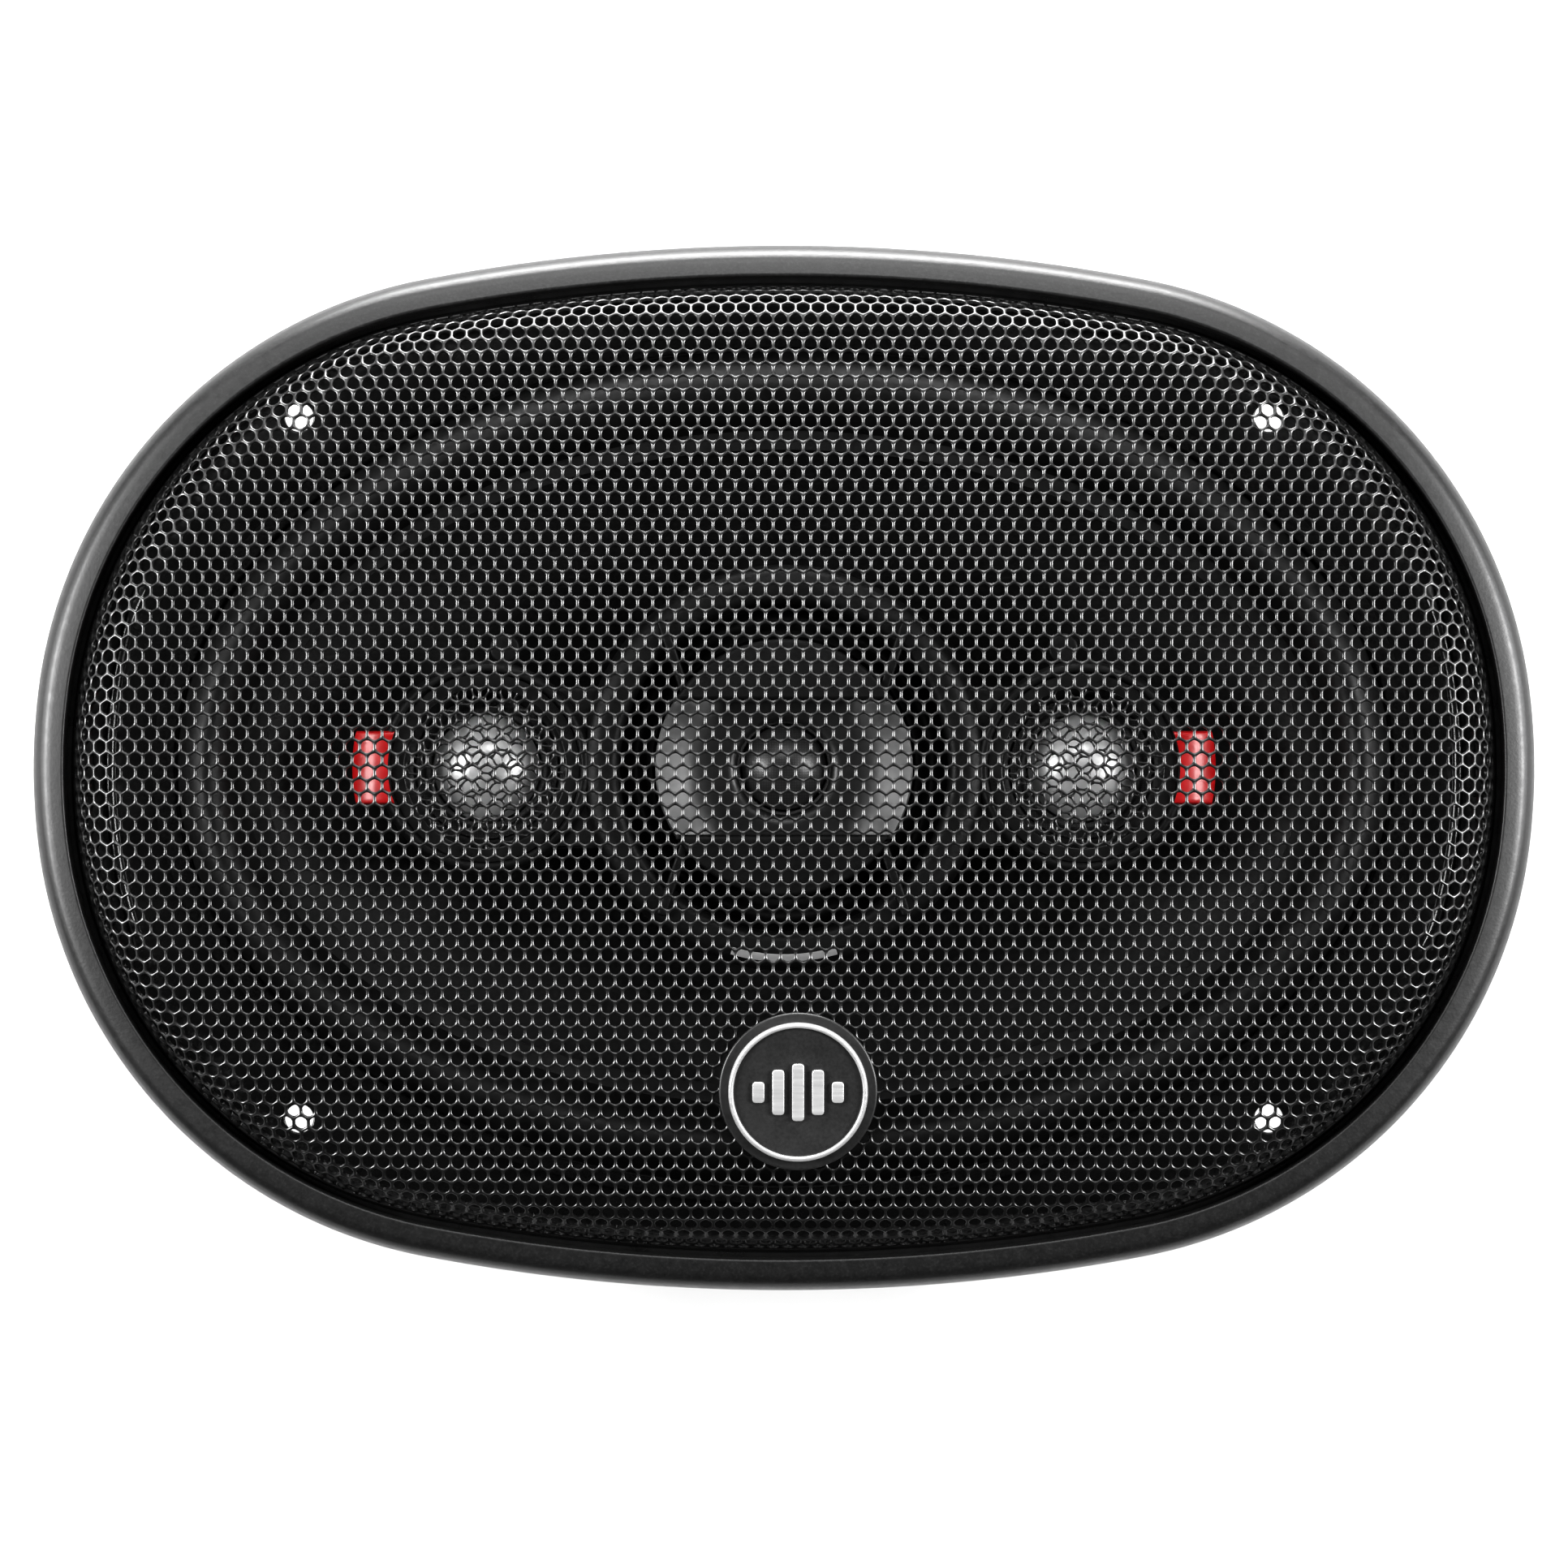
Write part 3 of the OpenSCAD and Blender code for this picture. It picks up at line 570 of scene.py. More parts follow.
def terminal_board():
    """Phenolic board, with paper fibres pressed flat in brown resin."""
    look = Look("terminal_board", Coat_Weight=0.15, Coat_Roughness=0.3)
    layer = look.noise(1.6, detail=5, place=look.stretched((0.35, 1, 1)))
    return look.finished(
        (layer, [(0.3, (0.05, 0.02, 0.01)), (0.55, (0.1, 0.042, 0.018)), (0.8, (0.16, 0.075, 0.03))]),
        (layer, 0.4, 0.58), (layer, 0.03))


def brass():
    """The terminals: rolled brass, slightly tarnished."""
    look = Look("brass", Metallic=1.0)
    tarnish = look.noise(3.5, detail=6)
    return look.finished(
        (tarnish, [(0.3, (0.5, 0.32, 0.1)), (0.6, (0.78, 0.56, 0.22)), (0.8, (0.86, 0.66, 0.3))]),
        (tarnish, 0.22, 0.4), (look.noise(0.6, place=look.stretched((1, 1, 0.15))), 0.008))


def sleeve():
    """The capacitors' shrink sleeve: blue film, slightly wrinkled."""
    look = Look("sleeve", Coat_Weight=0.5, Coat_Roughness=0.12)
    return look.finished(
        (look.noise(5, detail=4), [(0.3, (0.01, 0.05, 0.16)), (0.7, (0.02, 0.09, 0.26))]),
        (look.noise(2), 0.25, 0.4), (look.noise(1.8), 0.04))


def wire_pvc():
    """Two PVC wires side by side, black to the left of X = 0 and red to its right, with a light bloom."""
    look = Look("wire_pvc", Coat_Weight=0.2, Coat_Roughness=0.25)
    across = look.node("ShaderNodeSeparateXYZ", {0: look.place}).outputs["X"]
    which = look.ranged(across, 0.0, 1.0, -0.00002, 0.00002)
    tinted = look.combined("ADD", which, look.ranged(look.noise(2, detail=4), -0.06, 0.06))
    stops = [(0.0, 0.01), (0.4, (0.022, 0.02, 0.02)), (0.6, (0.3, 0.008, 0.006)), (1.0, (0.42, 0.014, 0.01))]
    return look.finished((tinted, stops), (look.noise(1.5), 0.35, 0.5), (look.noise(0.7), 0.015))


def former_paper():
    """The voice coil's former: wound varnished paper."""
    look = Look("former_paper", Coat_Weight=0.2, Coat_Roughness=0.3)
    return look.finished(
        (look.noise(4, detail=4), [(0.3, (0.3, 0.2, 0.09)), (0.7, (0.42, 0.29, 0.14))]),
        (look.noise(2), 0.4, 0.55), (look.ridges(0.6, "Z"), 0.01))


def copper():
    """The coils: enamelled wire wound turn by turn."""
    look = Look("copper", Metallic=0.9, Coat_Weight=0.5, Coat_Roughness=0.15)
    turns = look.ridges(0.28, "Z")
    return look.finished(
        (turns, [(0.0, (0.2, 0.06, 0.02)), (0.6, (0.62, 0.25, 0.1)), (1.0, (0.8, 0.38, 0.18))]),
        (look.noise(2), 0.25, 0.38), (turns, 0.08))


def red_gloss():
    """The accents: bright red plastic, polished, with a trace of flow marks."""
    look = Look("red_gloss", Coat_Weight=0.35, Coat_Roughness=0.2)
    flow = look.noise(5)
    return look.finished(
        (flow, [(0.3, (0.46, 0.002, 0.004)), (0.7, (0.58, 0.005, 0.008))]), (flow, 0.3, 0.4),
        (look.noise(1.5), 0.006))


def dome_dark():
    """The centre dome: dark damped cloth with a wet-looking seal."""
    look = Look("dome_dark", Coat_Weight=0.5, Coat_Roughness=0.3)
    weave = look.weave(0.4)
    return look.finished((weave, [(0.0, 0.02), (1.0, 0.05)]), (look.noise(1.5), 0.3, 0.42), (weave, 0.012))


def dome_silver():
    """The side domes: vapour-coated film, bright and slightly uneven."""
    look = Look("dome_silver", Metallic=0.5)
    return look.finished(
        (look.noise(3), [(0.3, 0.9), (0.7, 0.97)]), (look.noise(1.2), 0.34, 0.44),
        (look.noise(0.8, detail=2), 0.008))


def silk():
    """The tweeters' soft edges: fine dark cloth."""
    look = Look("silk")
    weave = look.weave(0.35)
    return look.finished((weave, [(0.0, 0.02), (1.0, 0.06)]), (look.noise(1), 0.5, 0.7), (weave, 0.03))


def bright_trim():
    """The badge's ring and bars: satin-plated, finely brushed along X."""
    look = Look("bright_trim", Metallic=0.45)
    brushed = look.noise(0.5, place=look.stretched((0.06, 1, 1)))
    return look.finished((brushed, [(0.3, 0.44), (0.7, 0.52)]), (brushed, 0.3, 0.4), (brushed, 0.006))


def badge_face():
    """The badge's ground: dark satin plastic."""
    look = Look("badge_face", Coat_Weight=0.3, Coat_Roughness=0.3)
    grain = look.noise(0.5)
    return look.finished((grain, [(0.3, 0.01), (0.7, 0.018)]), (look.noise(4), 0.36, 0.46), (grain, 0.01))


# ---- perforated sheets

def lattice(pitch, origin, half_x, half_y, keep):
    """Hole centres in staggered rows, where keep says so."""
    row = pitch * math.sqrt(3) / 2
    rows = np.arange(-int(half_y / row) - 2, int(half_y / row) + 3)
    columns = np.arange(-int(half_x / pitch) - 2, int(half_x / pitch) + 3)
    j, i = np.meshgrid(rows, columns, indexing="ij")
    x = (i + (j % 2) / 2).ravel() * pitch + origin[0]
    y = j.ravel() * row + origin[1]
    centres = np.stack([x, y], 1)
    return centres[keep(centres)]


def perforated(centres, pitch, hole, surface, thickness):
    """A sheet of six-sided holes, hole across flats, laid on a surface from (x, y) to (x, y, z).

    Each hole's corners are cut off, which leaves it twelve points, and its front edge is rounded."""
    crown, cut = 0.2, 12
    corner_turns = 30 + 60 * np.arange(6)
    cell = [np.cos(np.radians(corner_turns)), np.sin(np.radians(corner_turns))]
    corners = centres[:, None] + pitch / math.sqrt(3) * np.stack(cell, 1)[None]
    keys, index = np.unique(np.round(corners.reshape(-1, 2), 3), axis=0, return_inverse=True)
    index = index.reshape(-1, 6)
    hole_turns = np.radians(np.stack([corner_turns - cut, corner_turns + cut], 1).ravel())
    turn = np.stack([np.cos(hole_turns), np.sin(hole_turns)], 1)
    radius = hole / 2 / math.cos(math.radians(30 - cut))

    def on_surface(points, depth):
        step = 0.05
        p = surface(points)
        n = np.cross(surface(points + (step, 0)) - p, surface(points + (0, step)) - p)
        return p - n / np.linalg.norm(n, axis=1)[:, None] * depth

    def ring(r, depth):
        return on_surface((centres[:, None] + r * turn[None]).reshape(-1, 2), depth)

    layers = [on_surface(keys, 0.0), on_surface(keys, thickness), ring(radius + crown * 0.62, crown * 0.12),
              ring(radius, crown * 0.55), ring(radius, thickness)]
    starts = np.cumsum([0] + [len(v) for v in layers])
    front, back = index, index + starts[1]
    a, b, c = (starts[2 + k] + np.arange(len(centres) * 12).reshape(-1, 12) for k in range(3))
    quads, tris = [], []
    for k in range(6):
        on = (k + 1) % 6
        quads.append(np.stack([front[:, k], front[:, on], a[:, 2 * on], a[:, 2 * k + 1]], 1))
        tris.append(np.stack([front[:, k], a[:, 2 * k + 1], a[:, 2 * k]], 1))
        quads.append(np.stack([back[:, on], back[:, k], c[:, 2 * k + 1], c[:, 2 * on]], 1))
        tris.append(np.stack([back[:, k], c[:, 2 * k], c[:, 2 * k + 1]], 1))
    for i in range(12):
        on = (i + 1) % 12
        quads.append(np.stack([a[:, i], a[:, on], b[:, on], b[:, i]], 1))
        quads.append(np.stack([b[:, i], b[:, on], c[:, on], c[:, i]], 1))
    edges = np.stack([index, np.roll(index, -1, 1)], 2).reshape(-1, 2)
    shared = set(map(tuple, edges.tolist()))
    rim = np.array([e for e in edges.tolist() if (e[1], e[0]) not in shared])
    quads.append(np.stack([rim[:, 0], rim[:, 0] + starts[1], rim[:, 1] + starts[1], rim[:, 1]], 1))
    faces = [tuple(f) for f in np.concatenate(quads).tolist() + np.concatenate(tris).tolist()]
    return np.concatenate(layers), faces


# ---- grille

FRAME_SECTION = [
    (0, 0), (0, 4.6), (0.2, 6.2), (0.7, 7.5), (1.4, 8.35), (2.2, 8.85), (2.9, 9.05), (4.8, 9.4),
    (5.1, 9.3), (5.2, 9), (5.2, LIP_Z), (4.2, LIP_Z), (4.2, 0)]
RIM_FRONT = [
    (4.3, LIP_Z), (6.1, LIP_Z), (6.4, 6), (7.1, 8.8), (8.4, 11.4), (10.5, 13.3), (13.4, 14.3),
    (DOME_INSET, DOME_Z)]
MESH_PITCH = 2.35
MESH_HOLE = 1.93
# One hole's centre, which sets where the rows run
MESH_ORIGIN = (-0.52, 1.24)
# How far up its steep side the mesh is left unpierced
PLAIN_RIM_Z = 5.6


def grille_frame():
    section = rounded(FRAME_SECTION, 0.5, 4, flat=4)
    shape = hoop(section, oval)
    stands_for(piece("grille_frame_painted", shape, frame_paint(), smooth=50), "grille_frame")


def inset_of(points):
    """How far each point is in from the outline, its arc's centre and radius, and the way outward."""
    q = np.abs(points)
    angle = np.degrees(np.arctan2(q[:, 1] - CORNER[1], q[:, 0] - CORNER[0]))
    at_end, at_side = (angle < END_ANGLE)[:, None], (angle > SIDE_ANGLE)[:, None]
    centre = np.where(at_end, END, np.where(at_side, SIDE, CORNER))
    radius = np.where(at_end[:, 0], END_R, np.where(at_side[:, 0], SIDE_R, CORNER_R))
    out = q - centre
    distance = np.linalg.norm(out, axis=1)
    return radius - distance, centre, radius, out / distance[:, None]


def dome_share(points):
    """0 at the dome's middle and 1 at its edge."""
    edge = oval(DOME_INSET)
    turn = np.arctan2(edge[:, 1], edge[:, 0]) % (2 * np.pi)
    order = np.argsort(turn)
    reach = np.linalg.norm(edge, axis=1)[order]
    at = np.arctan2(points[:, 1], points[:, 0]) % (2 * np.pi)
    return np.linalg.norm(points, axis=1) / np.interp(at, turn[order], reach, period=2 * np.pi)


def rim_line():
    """The mesh's side from the dome's edge down, as inset and height along its length."""
    line = rounded(RIM_FRONT[1:], 2.2, 5, closed=False, flat=2)[::-1]
    length = np.concatenate([[0], np.cumsum(np.linalg.norm(np.diff(line, axis=0), axis=1))])
    return length, line[:, 0], line[:, 1]


def grille_surface(points):
    """The mesh's front, from a point of the flat sheet that it was drawn from."""
    share = dome_share(points)
    inside = share <= 1
    inset, centre, radius, out = inset_of(points)
    length, d, z = rim_line()
    run = DOME_INSET - inset
    q = centre + out * (radius - np.interp(run, length, d))[:, None]
    side = np.column_stack([np.where(points < 0, -q, q), np.interp(run, length, z)])
    top = np.column_stack([points, mix(MESH_TOP, DOME_Z, share**2)])
    return np.where(inside[:, None], top, side)


def grille_mesh():
    length, _, z = rim_line()
    pierced = np.interp(-PLAIN_RIM_Z, -z, length)

    def keep(centres):
        return (DOME_INSET - inset_of(centres)[0] < pierced) | (dome_share(centres) <= 1)

    centres = lattice(MESH_PITCH, MESH_ORIGIN, HALF_LENGTH + 9, HALF_WIDTH + 9, keep)
    sheet = perforated(centres, MESH_PITCH, MESH_HOLE, grille_surface, MESH_T)
    folded = [(4.3, LIP_Z), (6.04, LIP_Z), (6.34, 6), (6.5, 6.8), (7.42, 6.8), (7.26, 6),
              (6.96, LIP_Z - MESH_T), (4.3, LIP_Z - MESH_T)]
    rim = hoop(rounded(folded, 0.25, 3), oval)
    stands_for(piece("grille_mesh_pierced", merge(sheet, rim), mesh_paint(), smooth=48), "grille_mesh")


BADGE_TILT = 5
BADGE_Z = DOME_Z + (MESH_TOP - DOME_Z) * 0.42


def badge():
    """A round badge of its own: a dark face, a bright hoop and five plain upright bars."""
    tilt = Matrix.Rotation(math.radians(BADGE_TILT), 4, "X")
    at_badge = Matrix.Translation((BADGE_X, BADGE_Y, BADGE_Z)) @ tilt
    face_r = BADGE_R - 0.8
    foot = rounded([(12.4, 0.4), (12.4, 1.3), (face_r - 0.5, 1.3)], 0.35, closed=False)[1:-1]
    edge = rounded([(face_r, 1.3), (face_r, 2.1), (face_r - 2, 1.95)], 0.2, closed=False)[1:-1]
    plinth = lathe([(0, 0.4), *foot, (face_r, 1.3), *edge, (face_r - 2, 1.95), (0, 1.75)], 128)
    pin = lathe([(0, -3.2), (0.6, -3.2), (0.8, -3), (0.8, 0.6), (0, 0.6)], 24)
    body = merge(plinth, *(shifted(pin, x) for x in (-6, 6)))
    stands_for(piece("badge_body_moulded", moved(body, at_badge), badge_face()), "badge_body")
    rim = rounded([(face_r, 1.3), (BADGE_R, 1.3), (BADGE_R, 2.5), (BADGE_R - 0.25, 2.8), (face_r + 0.2, 2.8),
                   (face_r, 2.6)], 0.22)
    stands_for(piece("badge_ring_plated", moved(lathe(rim, 160), at_badge), bright_trim()), "badge_ring")
    pitch, half = 3.1, 0.95
    bars = []
    for i in range(-2, 3):
        reach = 2.6 + 1.9 * math.cos(math.radians(60 * i))
        bar = rectangle(pitch * i - half, -reach, pitch * i + half, reach, 0.6)
        bars.append(plate([bar], 1.7, 2.6, 0.15))
    emblem = piece("badge_bars_plated", moved(merge(*bars), at_badge), bright_trim())
    stands_for(emblem, "badge_emblem")


# ---- basket and woofer

WALL_OUTER = [(48, 48, -39), (53.2, 51.2, -36), (98.2, 68.4, -10), (99, 69, 0.6)]
WALL_INNER = [(97.8, 67.8, 0.6), (97, 67.2, -9.4), (52, 50, -35), (47, 47, -37.8)]
CLIP_INSET = 7.7


def clip_slots():
    """The flange's six slots for the grille's pegs."""
    slot = rectangle(-1, -3.3, 1, 3.3, 0.3)
    places = [(SIDE * sy + (SIDE_R - CLIP_INSET) * np.array([math.cos(a), math.sin(a) * sy]), a * sy)
              for sy in (1, -1) for a in np.radians([80.5, 99.5])]
    places += [(np.array([s * (HALF_LENGTH - CLIP_INSET), 0.0]), 0.0) for s in (-1, 1)]
    return [turned(slot, a) + centre for centre, a in places]


def basket():
    pattern = next(m["dims"] for m in frame["record"]["mounts"] if m["name"] == "flange_holes")
    x, y = pattern["spacing_x_mm"] / 2, pattern["spacing_y_mm"] / 2
    screw_holes = [circle(pattern["hole_r_mm"], 48, (sx * x, sy * y)) for sx in (-1, 1) for sy in (-1, 1)]
    flange = plate([oval(FLANGE_INSET), ellipse(96.4, 66.5), *screw_holes, *clip_slots()], 0, SHEET, 0.25)
    steel = black_steel()
    section = rounded(WALL_OUTER + WALL_INNER, 2.5, 5, flat=12)
    wall = piece("wall", hoop(section), steel)
    window = rounded([(30, -7), (112, -30.6), (112, 30.6), (30, 7)], 7, 6)
    openings = [plate([turned(window, a)], -33.5, -13, 0.2) for a in np.radians(np.arange(22.5, 360, 45))]
    wall = subtract(wall, piece("windows", merge(*openings), steel))
    step_back = LANDING_Z - 1
    cup = lathe(rounded([
        (17.5, CUP_FLOOR_Z), (41.5, CUP_FLOOR_Z), (41.5, step_back), (48.2, step_back), (48.2, LANDING_Z),
        (40.5, LANDING_Z), (40.5, CUP_FLOOR_Z + SHEET), (17.5, CUP_FLOOR_Z + SHEET)], 0.8), 160)
    tab_back = plate([rectangle(-10, LANDING_Z - 8, 10, LANDING_Z, 1.2)], -52, -50.8, 0.2)
    tab_top = plate([rectangle(-10, -52, 10, -44, 0.8)], step_back, LANDING_Z, 0.2)
    upright = Matrix(((1, 0, 0, 0), (0, 0, 1, 0), (0, 1, 0, 0), (0, 0, 0, 1)))
    beads = [flange_bead(side) for side, _ in SIDES]
    rest = piece("basket_pressed", merge(flange, cup, moved(tab_back, upright), tab_top, *beads), steel)
    joined = bmesh.new()
    joined.from_mesh(rest.data)
    joined.from_mesh(wall.data)
    bmesh.ops.recalc_face_normals(joined, faces=joined.faces)
    joined.to_mesh(rest.data)
    joined.free()
    bpy.data.objects.remove(wall)
    rest.data.shade_smooth()
    rest.data.set_sharp_from_angle(angle=math.radians(38))
    stands_for(rest, "basket")


def flange_bead(side):
    """A stiffening bead pressed up along one end of the flange, tapered at both its ends."""
    radius, half_width, height = END_R - 11.8, 1.0, 1.0
    steps, taper_steps, half_turn = 90, 12, 19.5
    a = np.linspace(0, np.pi, 13)
    r = radius + half_width * np.cos(a)
    rings = []
    for i, turn in enumerate(np.radians(np.linspace(-half_turn, half_turn, steps))):
        taper = math.sin(min(i / taper_steps, (steps - 1 - i) / taper_steps, 1) * math.pi / 2)
        z = SHEET - 0.1 + (height + 0.1) * taper * np.sin(a)
        section = np.column_stack([side * (END[0] + r * math.cos(turn)), r * math.sin(turn), z])
        rings.append(np.concatenate([section, section[::-1] * (1, 1, 0) + (0, 0, SHEET - 0.3)]))
    middle = [ring.mean(0, keepdims=True) for ring in (rings[0], rings[-1])]
    return loft([middle[0], *rings, middle[1]])


def front_gasket():
    section = rounded([(96.3, 66.4, 2), (99.8, 69, 2), (99.8, 69, 3.6), (96.3, 66.4, 3.6)], 0.5, 4)
    stands_for(piece("front_gasket_foam", hoop(section), foam()), "front_gasket")


def surround():
    """The rubber half-roll between the basket's flange and the cone."""
    t = np.linspace(0, 1, 36)
    a, b = mix(96.2, 85.6, t), mix(66.2, 53.4, t)
    z = mix(SHEET + 0.8, 0.9, t) + 6 * np.sin(np.pi * t) ** 0.8
    front = [(99.4, 68.6, 2.0), (97, 66.8, 2.0), *zip(a, b, z), (84.6, 52.5, 0.8), (82.2, 50.4, 0.7)]
    line = front + [(x, y, h - 0.8) for x, y, h in reversed(front)]
    obj = piece("surround_rubber", hoop(line), rubber(), smooth=60)
    joins(obj, "surround")


def woofer_cone():
    t = np.linspace(0, 1, 30)
    front = [(mix(15.5, 84.4, s), mix(15.5, 52.8, s), -34 + 33.2 * s**0.94) for s in t]
    line = [(a, b, z - 0.6) for a, b, z in front] + [(a, b, z - 1.4) for a, b, z in reversed(front)]
    stands_for(piece("woofer_cone_pulp", hoop(line), pulp(), smooth=60), "woofer_cone")


def spider():
    """The corrugated cloth ring that centres the voice coil."""
    inner, pitch, depth, middle_z = 15.8, 4.72, 1.1, -37.6
    r = np.linspace(inner, 39.4, 121)
    z = middle_z + depth * np.sin(2 * np.pi * (r - inner) / pitch)
    front = [*zip(r, z), (41.2, LANDING_Z + 0.5), (46.4, LANDING_Z + 0.5)]
    line = front + [(x, h - 0.5) for x, h in reversed(front)]
    obj = piece("spider_pleated", lathe(line, 120), spider_cloth(), smooth=60)
    joins(obj, "spider")


def smooth_route(route):
    """A Catmull-Rom curve in the plane X = 0, through a route of (y, z)."""
    p = np.array([(0, y, z) for y, z in route], float)
    p = np.concatenate([[2 * p[0] - p[1]], p, [2 * p[-1] - p[-2]]])
    made = []
    for i in range(1, len(p) - 2):
        for t in np.linspace(0, 1, 8, endpoint=False):
            made.append(0.5 * (2 * p[i] + (p[i + 1] - p[i - 1]) * t
                               + (2 * p[i - 1] - 5 * p[i] + 4 * p[i + 1] - p[i + 2]) * t**2
                               + (3 * p[i] - p[i - 1] - 3 * p[i + 1] + p[i + 2]) * t**3))
    made.append(p[-2])
    return np.array(made)


# The routes of the woofer's leads and of the bridge's wires, as (y, z)
LEAD_ROUTE = [
    (-26, -25.35), (-26.6, -27.8), (-28.2, -30), (-30.6, -31.6), (-33.4, -32.3), (-37, -32.2), (-41, -31.4),
    (-45, -31), (-49, -31.2), (-53, -32.4), (-55.4, -34.6), (-55.8, -36.6), (-55.6, -38.6)]
WIRE_ROUTE = [
    (0, -20.2), (0, -40), (0, -60), (0, -73.5), (-0.6, -75.4), (-2, -76.4), (-5, -76.6), (-20, -76.6),
    (-40, -76.6), (-45, -76.3), (-48, -75), (-49.2, -73), (-49.4, -70), (-49.4, -58), (-49.4, -50), (-50, -46),
    (-50, -42)]


def leads_and_wires():
    lead = tube(smooth_route(LEAD_ROUTE), 0.68, 16)
    leads = piece("tinsel_leads_braided", merge(shifted(lead, -9), shifted(lead, 9)), braid())
    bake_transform(leads)
    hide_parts("tinsel_leads")
    wire = tube(smooth_route(WIRE_ROUTE), 0.64, 14)
    wires = piece("bridge_wires_sheathed", merge(shifted(wire, -0.85), shifted(wire, 0.85)), wire_pvc())
    stands_for(wires, "bridge_wires")


def capacitors():
    """Two small cans that lie under the spider's step."""
    wall = [(3.2, -8), (4, -8), (4, -6.6), (3.6, -6.2), (4, -5.8), (4, 8), (3.2, 8)]
    can = lathe([(0, -8), *rounded(wall, 0.4, closed=False), (3, 7.8), (0, 7.8)], 48)
    lying = Matrix.Translation((0, -46, LANDING_Z - 5.8)) @ Matrix.Rotation(math.radians(90), 4, "Y")
    cans = [moved(can, Matrix.Rotation(math.radians(side * 42), 4, "Z") @ lying) for side, _ in SIDES]
    stands_for(piece("capacitors_sleeved", merge(*cans), sleeve()), "crossover_capacitors")


# ---- bridge

HUB_R = 32.0
HUB_OPENING_R = 25.8
POD_R = 16.8
WEB_HALF = 12.8
SEAM_Z = 3.0
HUB_FACE = 11.0
POD_FACE = 10.5


def web(sx, sy):
    """One of the four small webs in the angles between the hub and a pod."""
    foot = 3.0
    hub_r, pod_r = HUB_R - 0.9, POD_R - 0.8
    on_hub = arc((0, 0), hub_r, height_angle(foot, hub_r), height_angle(WEB_HALF, hub_r), 12, True)
    high, low = 180 - height_angle(WEB_HALF, pod_r), 180 - height_angle(foot, pod_r)
    on_pod = arc((POD_X, 0), pod_r, high, low, 12, True)
    return plate([np.concatenate([on_hub, on_pod]) * (sx, sy)], SEAM_Z, 9, 0.6)


def bridge_front():
    hub = lathe(rounded([
        (HUB_OPENING_R, SEAM_Z), (HUB_R, SEAM_Z), (HUB_R, HUB_FACE - 2.6), (HUB_R - 0.9, HUB_FACE - 0.8),
        (HUB_R - 2.6, HUB_FACE), (HUB_OPENING_R + 1, HUB_FACE), (HUB_OPENING_R, HUB_FACE - 1)], 0.8, 5), 160)
    pod = lathe(rounded([
        (15, SEAM_Z), (POD_R, SEAM_Z), (POD_R, POD_FACE - 1.2), (POD_R - 0.5, POD_FACE - 0.3),
        (POD_R - 0.9, POD_FACE), (15.3, POD_FACE), (15, POD_FACE - 0.4)], 0.4, 4), 128)
    boss = lathe([(0, SEAM_Z), (2.4, SEAM_Z), *rounded([(2.4, 7), (2.4, 8.2), (0.5, 8.2)], 0.6, closed=False),
                  (0, 8.2)], 40)
    shapes = [hub]
    nose_x, boss_x, boss_y = 64.4, 44, 18.8
    for side, _ in SIDES:
        shapes.append(shifted(pod, side * POD_X))
        shapes.append(shifted(boss, side * boss_x, boss_y))
        nose = [rectangle(side * nose_x - 3, -5.4, side * nose_x + 3, 5.4, 0.8)]
        shapes.append(plate(nose, SEAM_Z, 5.9, 0.3))
        shapes += [web(side, 1), web(side, -1)]
    obj = piece("bridge_front_moulded", merge(*shapes), moulded("hub_plastic", 0.003))
    stands_for(obj, "bridge_front_shell")


def accent(side):
    """A block beside the pod. Its front falls outward in a quarter of an ellipse."""
    half, edge, base = 5.75, 0.6, 6.0
    inner_r, outer_r, cut_back = 15.25, 24, 3
    low, height, crest_x, reach = 6.5, 4.4, 14.2, 7
    rows, columns = 41, 33
    grids = []
    for y in np.linspace(-half, half, rows):
        x = np.linspace(math.sqrt(inner_r**2 - y * y), math.sqrt(outer_r**2 - y * y) - cut_back, columns)
        into_edge = np.clip((abs(y) - half + edge) / edge, 0, 1)
        fall = np.sqrt(np.clip(1 - ((x - crest_x) / reach) ** 2, 0, 1))
        z = low + height * fall - edge * (1 - math.sqrt(1 - into_edge**2))
        grids.append(np.column_stack([x * side, np.full(columns, y), z]))
    top = np.array(grids)
    bottom = top * (1, 1, 0) + (0, 0, base)
    outline = [(0, k) for k in range(columns)] + [(i, columns - 1) for i in range(1, rows)]
    outline += [(rows - 1, k) for k in range(columns - 2, -1, -1)] + [(i, 0) for i in range(rows - 2, 0, -1)]
    index = np.arange(rows * columns).reshape(rows, columns)
    faces = []
    for start in (0, rows * columns):
        cells = np.stack([index[:-1, :-1], index[:-1, 1:], index[1:, 1:], index[1:, :-1]], -1) + start
        faces += [tuple(f) for f in cells.reshape(-1, 4).tolist()]
    ring = [int(index[spot]) for spot in outline]
    faces += [(a, b, b + rows * columns, a + rows * columns) for a, b in zip(ring, ring[1:] + ring[:1])]
    verts = np.concatenate([top.reshape(-1, 3), bottom.reshape(-1, 3)])
    return shifted((verts, faces), side * POD_X)


def accents():
    material = red_gloss()
    for side, name in SIDES:
        stands_for(piece(f"accent_{name}_polished", accent(side), material), f"accent_{name}")


def hub_strip():
    """A plain silver line printed on the hub's lower rim."""
    outline = np.concatenate([arc((0, 0), 30.5, 254, 286, 40, True), arc((0, 0), 29.3, 286, 254, 40, True)])
    obj = piece("hub_strip", plate([outline], HUB_FACE - 0.2, HUB_FACE + 0.06, 0.05), bright_trim())
    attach(obj, "chassis")


SLOT_HALF = 10.5
HORN_R = 20.2
HORN_FACE = 14.0
# The slot's floor: its height in the middle, and where and how far it rises toward its ends
FLOOR_Z = 9.2
RISE_START = 9.5
RISE = 4.3


